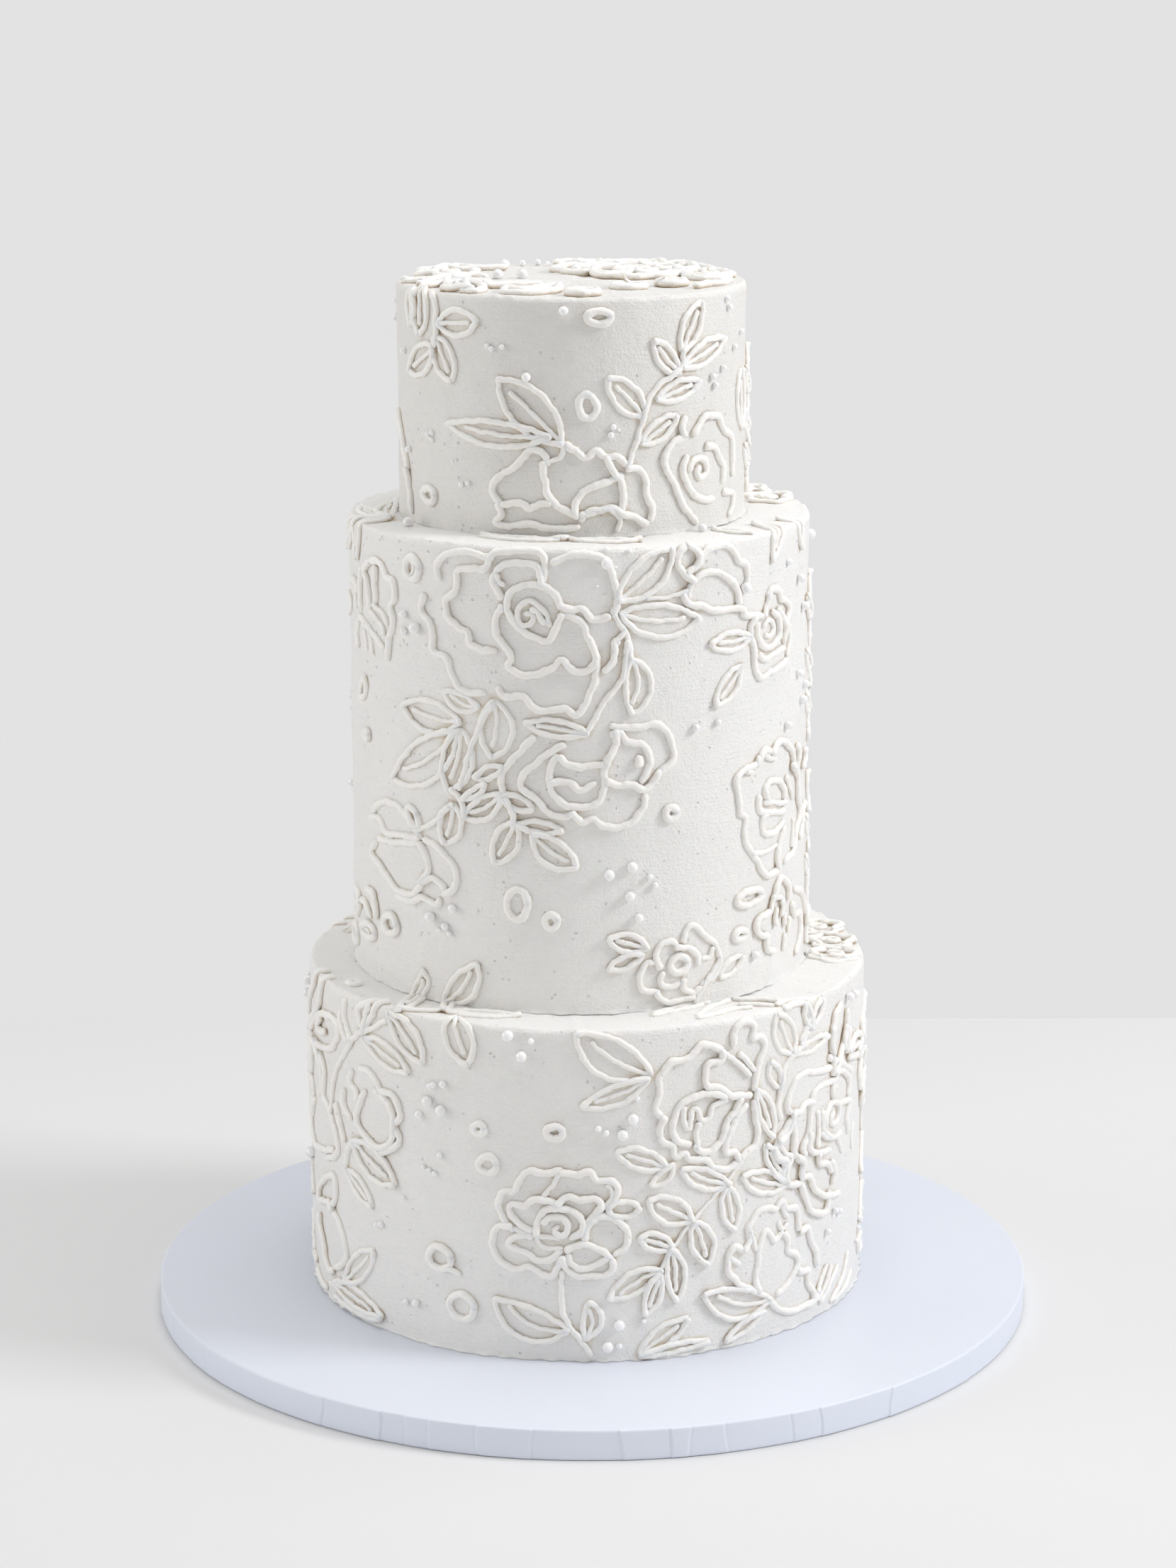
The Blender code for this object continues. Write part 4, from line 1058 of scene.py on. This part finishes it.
def middle_right_flowers():
    lines = piped_lines(
        ((54, 197), (57, 202), (63, 204), (70, 203.5), (75, 197), (80, 194), (81, 188), (79, 183)),
        ((51, 190), (56, 193), (64, 192.5), (70, 189), (75, 183), (75.5, 177)),
        ((46, 185), (49, 180.5), (56, 178.5), (63, 176), (76, 175.5), (80, 172), (91, 170)),
        ((48, 206), (44, 202), (44, 197), (51, 190)), ((48, 206), (53, 203), (53.5, 198), (48, 194)),
        ((86, 170), (83, 166), (84, 160), (86, 154), (86, 148), (90, 142.5), (98, 144), (106, 145),
         (111, 147)),
        ((95, 178), (99, 181), (104, 179), (106, 175), (112, 173), (114, 169), (111, 164)),
        ((87, 167), (88, 161), (91, 157), (95, 155), (100, 156), (104, 159), (105, 164), (103, 168),
         (98, 171)),
        ((103, 171), (107.5, 167), (110, 161), (109, 155)),
        ((89, 153), (93, 150.5), (98, 151), (107, 153)),
        ((98, 108), (93, 109), (88, 104), (81, 103), (75, 99), (77, 89), (77, 84), (80.5, 81), (80, 73),
         (84, 65), (89, 60), (93, 54), (99, 51), (106, 53)),
        ((99, 107), (103, 110), (108, 111), (114, 108), (120, 103), (121, 99), (120, 95)),
        ((97, 85), (95, 89), (94, 92), (97, 94), (102, 94), (106, 93), (110, 89), (111, 84)),
        ((90, 89), (89, 86), (90, 83), (94, 81), (99, 80), (105, 79), (111, 78)),
        ((94, 80), (92, 78), (92, 74), (95, 71), (100, 70), (104, 71), (110, 74)),
        ((110, 71), (107, 65), (105, 60), (105, 53)), ((126, 105), (129, 102), (128, 98)),
        ((142, 100), (142, 96), (138, 92)), ((142, 75), (137, 72), (135, 66), (131, 61)),
        ((99, 34), (91, 33), (88.5, 30), (90, 27), (93, 24.5), (97, 24), (96, 20), (98, 17), (103, 15)),
        ((103, 40), (105, 45), (109, 48), (114, 45), (117, 41), (117, 36)),
        ((124, 39), (133, 36), (140, 31), (146, 25), (152, 19)),
        ((121, 33), (124, 27), (131, 26), (134, 22), (134, 17), (131, 12), (126, 8)),
        ((151, 39), (154, 31), (153, 15), (152, 6)),
    )
    lines += piped_lines(
        ((51, 190), (49, 187), (49, 183)), ((96, 179), (94, 174), (92, 170)),
        ((114, 162), (115, 156), (112, 149)),
        ((92, 165), (94.5, 167.5), (98, 166.5), (99.5, 163), (97, 160), (93.5, 161)),
        ((102, 41), (101, 38), (99, 34)), ((104, 39.5), (108, 39), (112, 36)),
        ((109, 37), (110.5, 34), (110, 30)), ((105, 34), (104, 31), (104, 27)), ((113, 30), (113, 25)),
        ((118, 27), (117, 21)), ((113, 20), (112, 14)), ((88, 103), (89, 107)),
        ((94, 107), (97, 105), (102, 104)), ((113, 93), (117, 88), (120, 82)),
        ((94, 85.5), (99, 84.5), (105, 83), (112, 82)), ((85, 64), (92, 63), (98, 63), (104, 64)),
        ((121, 72), (121, 66), (120, 60)), ((81, 102), (85, 101)),
        width=THIN,
    )
    return lines + petal((119, 98), (112, 54), 14, 3) + ring((84, 44), 20, 10)


def middle_small_rose():
    lines = piped_lines(
        ((33, 22), (29, 21.5), (26.5, 15), (28, 10), (35, 8.5)),
        ((36, 19), (34, 24), (36, 29.5), (42, 31), (44, 28)),
        ((47, 30), (49, 36), (53, 36.5), (59, 30), (64, 26), (66, 18), (63, 12), (56, 9)),
        ((43, 28), (49, 27), (54, 23.5), (54, 19)), ((37, 17), (36, 12), (41, 10), (46, 12)),
        ((47, 13), (47, 8.5), (52, 6), (55, 8)), ((34, 8), (38, 3.5), (44, 3.5), (52, 4)),
        width=3.0,
    )
    return lines + stem((56, 21), (60, 21), (62, 25)) + ring((45, 20), 12, 11)


def middle_leaves():
    lines = each(
        leaf,
        ((17, 184), (41, 205), 6, 8), ((18, 178), (54, 173.5), 5, 9), ((22.5, 158), (23, 134), 9, 2.5),
        ((83, 162), (60, 161.5), 4.5, 3.5), ((77, 150), (63, 134), 5, 4),
        ((4, 126), (-23, 130), 3.5, 3.5), ((-53, 128), (-86, 131), 8, 6),
        ((-55, 124), (-94, 97), 12, 6), ((-53, 125), (-60, 97), 9, 6), ((-37, 139), (-38, 114), 9, 6),
        ((-44, 136), (-61, 141), 5.5, 2), ((-34, 98), (-52, 86), 6, 3),
        ((-33, 110), (-46, 104), 2.5, 2.5), ((-41, 102), (-52, 94), 2, 1), ((-34, 97), (-20, 92), 3, 3),
        ((-57, 91), (-62, 73), 6.5, 5), ((-28, 86), (-37, 67), 6, 5), ((-27, 85), (-7, 83), 2.5, 2.5),
        ((-20, 81), (-1, 66.5), 4.5, 7), ((30, 29), (13, 34), 4, 4), ((28, 26), (13, 20), 2.5, 3),
        ((66, 11), (79, 18), 3, 3), ((-63.5, 0), (-46, 20), 3.6, 8), ((-124, 128), (-118, 138), 3, 3),
    )
    lines += piped_lines(
        ((-83, -1), (-81, 3), (-78, 8), (-75, 13)), ((-80, -1), (-77, 3), (-75, 8)),
        ((-77, -1), (-74, 3), (-72, 7), (-75, 13)), ((52, 0), (57, 8), (62, 14), (66, 20)),
        width=THIN,
    )
    lines += stem((15, 178), (21, 168), (22.5, 158))
    lines += stem((21, 166), (19, 150), (12, 141), (4, 127))
    lines += stem((11, 153), (14, 157), (16, 162), (15, 166), (18, 168), (20, 171))
    lines += stem((-59, 90), (-67, 82), (-78, 76))
    lines += stem((-58, 98), (-53, 93), (-51, 86)) + stem((-32, 97), (-29, 90), (-28, 84))
    lines += stem((-37, 139), (-46, 122), (-54, 98)) + stem((30, 184), (40, 184), (50, 187), width=2)
    lines += ring((-27, 49), 13, 17) + ring((-79, 193), 12, 13)
    lines += stem((-80, 197), (-78, 193), (-80, 189), width=1.8)
    return lines + each(
        ring,
        ((-12, 42), 9, 10), ((41, 88.5), 9, 9), ((78, 28), 11, 8), ((-118, 112), 8, 7),
    )


def middle_ledge():
    """Lines on the flat ledge round the top tier's foot, some of them over its rim."""
    lines = each(
        leaf,
        ((-10, 225), (-54, 226), 3, 3), ((-4, 225), (32, 221), 3, 3), ((83, 228), (86, 208), 3, 3),
        ((112, 222), (98, 193), 4, 4), ((126, 216), (129, 194), 3, 3),
    )
    lines += round_the_back(lines, 350)
    for tip in ((-168, 211), (-146, 192), (-128, 190), (-188, 224)):
        lines += leaf((-128, 221), tip, 4, 4)
    for along, turn in ((196, 0), (222, 25)):
        lines += scallop((along, 218), 12, 9, 5, turn) + curl((along, 218), 5, 1.1, turn)
        lines += petal((along - 8, 213), (along + 7, 213), -3, 1)
    lines += ring((-8, 227), 8, 6, peak=1.5)
    return lines


MIDDLE_PEARLS = (
    (13, 63, 5), (23, 66, 5), (22, 53, 4.5), (26, 43, 4), (-70, 38, 5), (-77, 167, 5), (79, 184, 5),
    (-58, 44, 4), (31, 61, 3), (33.5, 57, 3), (52.5, 125.5, 3.5), (64, 126.5, 3), (87.5, 17, 4),
    (-84.5, 172, 3.5), (-84.5, 164.5, 3.5), (-62, 35, 3.5), (-60, 32, 2.5), (-66, 33, 2),
    (113, 190.5, 3), (127, 181, 4), (113, 117, 4), (135, 167, 4), (126, 138, 4), (137, 131, 4),
    (132, 125, 4), (12, 206, 2.5), (22, 205, 2), (16, 198, 1.5), (8, 190, 1.5), (12, 200, 5),
    (-108, 223, 5), (75, 228, 4.5),
)
middle_front = middle_main_rose() + middle_second_rose() + middle_left_flowers()
middle_front += middle_right_flowers() + middle_small_rose() + middle_leaves()
middle_back = round_the_back(middle_front, 318) + spray(158, 108, 158, 1) + spray(162, 24, 66, -1)
middle_front += middle_ledge()
dress(
    MIDDLE, middle_icing, middle_front, middle_back, 2,
    (*MIDDLE_PEARLS, *back_pearls(MIDDLE, 145, 505, 16)),
    ("middle_flowers", "middle_back_flowers", "middle_pearls"),
)


# The top tier
# A 6 inch cake, iced as the others are, with a coat painted a little darker and warmer as painted
# shade. Its flat top shows.

TOP = Tier("tier_top", 77.8, 103.0, -8.4, 372.9, 13)
# Painted shade: a darker, warmer copy of the walls' icing for the top tier's shaded wall; its third
# colour is painted shade between its lines.
SHADED_TOP_ICING = icing_material(
    "top_icing_painted_darker", (0.81, 0.80, 0.775), (0.785, 0.769, 0.733), (0.70, 0.61, 0.49),
    WALL_GRAIN, WALL_RELIEF,
)
top_icing = ice("top_icing", TOP, 70.0, SHADED_TOP_ICING)


# The flowers on the top tier
# An open flower at its foot, a rose, sprays of leaves and, on the flat top, a ruffled flower,
# loops with pulled peaks and a bunch of leaves that runs over the rim at the left.


def top_open_flower():
    lines = piped_lines(
        ((-10, 32), (-12, 37), (-17, 38.5), (-22, 33), (-27, 29), (-33, 25), (-35, 19), (-31, 14)),
        ((-12, 33), (-11.5, 26), (-10, 19), (-5, 13.5), (2, 10)),
        ((-30, 14), (-22, 15), (-18, 12.5), (-14, 15), (-9, 15)),
        ((-32, 14), (-31, 9), (-33.5, 6), (-28, 4.5), (-18, 6), (-8, 4), (3, 5)),
        ((-3, 41), (1, 38.5), (6, 35), (11, 38), (15, 35), (20, 35), (24, 31)),
        ((22, 27), (15, 24), (7, 21.5), (2, 16), (2, 9)),
        ((15, 35), (18.5, 28), (22, 23), (22.5, 17), (22, 11)),
        ((24, 30), (30, 29), (33, 23), (33.5, 17), (36, 12), (35, 6)),
        ((4, 10), (11, 11.5), (17, 13), (22, 10.5), (28, 8), (33, 5)),
    )
    lines += piped_lines(
        ((4, 8), (8, 12), (16, 12.5), (21, 8), (20, 3)), ((-3, 40), (-5, 35), (-10, 33)),
        width=THIN,
    )
    return lines


def top_rose():
    lines = piped_lines(
        ((69, 49), (75, 48), (79, 42), (86, 38), (87.5, 30), (87, 21)),
        ((52, 42), (46, 39), (42, 34), (43, 28), (47, 22), (50, 15), (55, 8), (60, 3)),
        ((53, 50), (51, 46), (52, 42)), ((58, 42), (65, 49.5), (69, 49)),
        ((66, 36), (72, 35), (76, 29), (79, 25), (78, 19)),
        ((54, 33), (52, 28), (53, 23), (58, 16), (64, 13), (71, 12)),
        ((79, 14), (87, 13), (88, 8), (84, 3)),
    )
    lines += curl((62, 26), 6.5, 1.4, 30)
    lines += piped_lines(
        ((-110, 47), (-103, 40), (-98, 33), (-92, 23)), ((-92, 23), (-90, 14), (-88, 4)),
    )
    return lines


def top_leaves():
    lines = each(
        leaf,
        ((-4, 41), (-32, 68), 8, 9), ((-9, 44), (-58, 47), 6.5, 4), ((32, 52), (16, 69), 5.5, 5.5),
        ((49, 69), (36.5, 84), 4, 4), ((51, 79), (62, 99), 5, 5), ((51, 72), (79, 82), 4.5, 4.5),
        ((38, 59), (61, 65), 4, 4), ((31, 40), (48, 51), 4, 4), ((100, 40), (98, 66), 6, 6),
        ((-78, 106), (-78, 84), 6, 6), ((-86, 104), (-86, 87), 4, 4), ((-64, 90), (-42, 92), 5.5, 5.5),
        ((-66, 84), (-56, 66), 6, 6), ((-67, 79), (-88, 67), 6, 6),
    )
    lines += stem((25, 31), (30, 46), (36, 62), (50, 72), (51, 79))
    lines += stem((-69, 103), (-66, 98), (-65, 88), (-66, 80))
    return lines + each(ring, ((7, 57), 14, 11, 100), ((12, 95), 14, 9), ((-72, 14), 12, 10))


def top_disc():
    """Lines on the flat top, in millimetres across (x) and back (y) from the tier's axis."""
    lines = piped_lines(
        ((-63, 9), (-62, 24), (-57, 40), (-51, 49), (-46, 42), (-38, 41), (-30, 42)),
        ((-66, -18), (-59, -9), (-52, -2), (-45, 5), (-38, 1)),
        ((-55, -26), (-48, -22), (-40, -31), (-38, -50), (-41, -60), (-47, -53)),
        ((-56, -44), (-50, -50), (-42, -58)), ((-38, -37), (-28, -33), (-13, -30)),
        ((-29, -64), (-28, -50), (-21, -53), (-14, -47), (-6, -37), (-6, -52), (-12, -63), (-22, -67),
         (-29, -64)),
        ((54, 40), (57, 46), (62, 38), (64, 31)), ((54, -38), (60, -31), (66, -27), (70, -15)),
        ((38, 52), (40, 60), (44, 56), (52, 47)),
        width=THICK,
    )
    lines += petal((4, 56), (7, 17), -13, 3, width=THICK)
    lines += petal((9, 16), (48, 12), -13, 3, width=THICK)
    lines += petal((2, 55), (36, 66), 6, 2, width=THICK) + petal((-8, 66), (14, 60), 8, 2)
    lines += petal((50, 2), (71, 1), -8, 1, width=THICK)
    lines += rose((30, 36), 27, 80, THICK)
    lines += scallop((61, 14), 10, 13, 5, 20, 3.6) + curl((61, 14), 5, 1.1, 30, 3)
    lines += scallop((-56, 22), 13, 16, 6, 0, 3.6) + curl((-56, 22), 7, 1.2, 80, 2)
    lines += ring((5, -64), 17, 15, 0, 4.2, 2.5) + ring((25, -40), 18, 16, 20, 4, 5.5)
    lines += ring((44, -24), 16, 15, -15, 4.2, 3)
    for tip, left, right in (
        ((-74, -16), 4, 4), ((-66, -34), 5, 4), ((-48, -44), 4, 5), ((-36, -26), 5, 5),
    ):
        lines += leaf((-52, -8), tip, left, right, 3.2)
    return lines


TOP_PEARLS = (
    (-19, 69.5, 4.2), (-3, 98, 4.2), (17, 44.5, 3), (18, 48, 2.8), (20.5, 46.5, 1.5), (-37, 82, 2.5),
    (-35, 81, 2.5), (-30, 82, 2.5), (-51, 21, 2.5), (-47.5, 22, 2.5), (-56, 31, 1.5), (-54, 31.5, 1.5),
    (-72, 41, 2.5), (-69, 42, 2.5), (-69, 39, 2.5), (-90, 32, 3), (-95, 75, 3), (70, 66, 3),
    (72, 62, 3), (78, 69, 3), (81, 99, 3), (83, 95, 3), (97, 83, 3), (89, 77, 3),
)
DISC_PEARLS = (
    (-31, 52, 5), (-33, 8, 5), (-22, 8, 5), (2, 29, 5), (10, 22, 5), (-61, 39, 3), (-66, 31, 3),
    (-16, 70, 3), (-23, 67, 3),
)
top_front = top_open_flower() + top_rose() + top_leaves()
top_strokes = top_front + round_the_back(top_front, 245) + spray(122, 16, 54, 1)
top_piping = pipe_all(TOP, top_strokes, on_wall, 3) + pipe_all(TOP, top_disc(), on_disc, 4, 0.8)
make_flowers("top_flowers", TOP, top_piping)
# Painted shade on the top tier's icing, deeper where its lines crowd it.
mark_creases(top_icing, TOP, top_strokes)
top_balls = pearls(TOP, (*TOP_PEARLS, *back_pearls(TOP, 112, 372, 8)), on_wall)
top_balls += pearls(TOP, DISC_PEARLS, on_disc)
make_piece("top_pearls", top_balls, PEARL, "tier_top", "sugar_pearl")


# The studio
# A plain pale table in a pale room: a bright window high on the right, a wide light overhead, a
# weaker one on the left, and a faint low one in front that leaves the table out. The walls are
# darker on the camera's side, and the camera sees them as one even backdrop.

TABLE_SIDE = 1.1
TABLE_BACK = 0.43
TABLE_COLOUR = (0.703, 0.698, 0.694, 1)
BELOW = (0.63, 0.625, 0.63)
NEAR_WALLS = (0.288, 0.288, 0.291)
FAR_WALLS = (0.405, 0.405, 0.413)
BACKDROP = (0.77, 0.765, 0.77)
CAKE_MIDDLE = Vector((0, 0, 0.25))
LENS = 85.89
CAMERA_PLACE = (0, -1.6716, 0.6467)
CAMERA_DIP = math.radians(13.508)
CAMERA_TURN = 0.00093
CAMERA_ROLL = -0.0021

floor_mesh = bpy.data.meshes.new("table")
corners = [
    (-TABLE_SIDE, -TABLE_SIDE, 0), (TABLE_SIDE, -TABLE_SIDE, 0),
    (TABLE_SIDE, TABLE_BACK, 0), (-TABLE_SIDE, TABLE_BACK, 0),
]
floor_mesh.from_pydata(corners, [], [(0, 1, 2, 3)])
floor = add_object("table", floor_mesh)
floor_material, _, floor_shader, _ = new_material("table", 0.6)
set_inputs(floor_shader, {"Base Color": TABLE_COLOUR, "Specular IOR Level": 0.2})
floor_mesh.materials.append(floor_material)

world = bpy.data.worlds.new("pale room")
bpy.context.scene.world = world
world.use_nodes = True
sky = world.node_tree
way = sky.nodes.new("ShaderNodeSeparateXYZ")
set_inputs(way, {0: sky.nodes.new("ShaderNodeTexCoord").outputs["Generated"]})
above = ramp(sky, way.outputs["Z"], 0.0, 0.15)
beyond = ramp(sky, way.outputs["Y"], -0.9, 0.1)
room = mix_colours(sky, above, BELOW, mix_colours(sky, beyond, NEAR_WALLS, FAR_WALLS))
to_camera = sky.nodes.new("ShaderNodeLightPath").outputs["Is Camera Ray"]
set_inputs(sky.nodes["Background"], {"Color": mix_colours(sky, to_camera, room, BACKDROP)})


def soft_light(name, place, size, power, colour):
    """A square area light that faces the middle of the cake."""
    light = bpy.data.lights.new(name, "AREA")
    light.size = size
    light.energy = power
    light.color = colour
    lamp = add_object(name, light)
    lamp.visible_camera = False
    lamp.location = place
    lamp.rotation_euler = (CAKE_MIDDLE - Vector(place)).to_track_quat("-Z", "Y").to_euler()
    return lamp


soft_light("window", (1.8, -0.35, 1.4), 0.6, 25, (0.985, 0.99, 1.015))
soft_light("fill", (-1.9, -0.1, 0.8), 1.4, 13.8, (1.0, 0.99, 0.97))
front = soft_light("front", (0.05, -0.85, 0.12), 0.3, 0.75, (1.0, 1.0, 1.0))
left_out = bpy.data.collections.new("table left out")
left_out.objects.link(floor)
front.light_linking.receiver_collection = left_out
left_out.collection_objects[0].light_linking.link_state = "EXCLUDE"
soft_light("above", (0.3, 0.05, 4.0), 2.4, 77, (1.0, 1.0, 1.0))

camera = add_object("camera", bpy.data.cameras.new("camera"))
bpy.context.scene.camera = camera
camera.data.lens = LENS
camera.location = CAMERA_PLACE
camera.rotation_mode = "QUATERNION"
turn, roll = Quaternion((0, 0, 1), CAMERA_TURN), Quaternion((0, 0, 1), CAMERA_ROLL)
camera.rotation_quaternion = turn @ Quaternion((1, 0, 0), math.pi / 2 - CAMERA_DIP) @ roll
bpy.context.scene.view_settings.view_transform = "Standard"
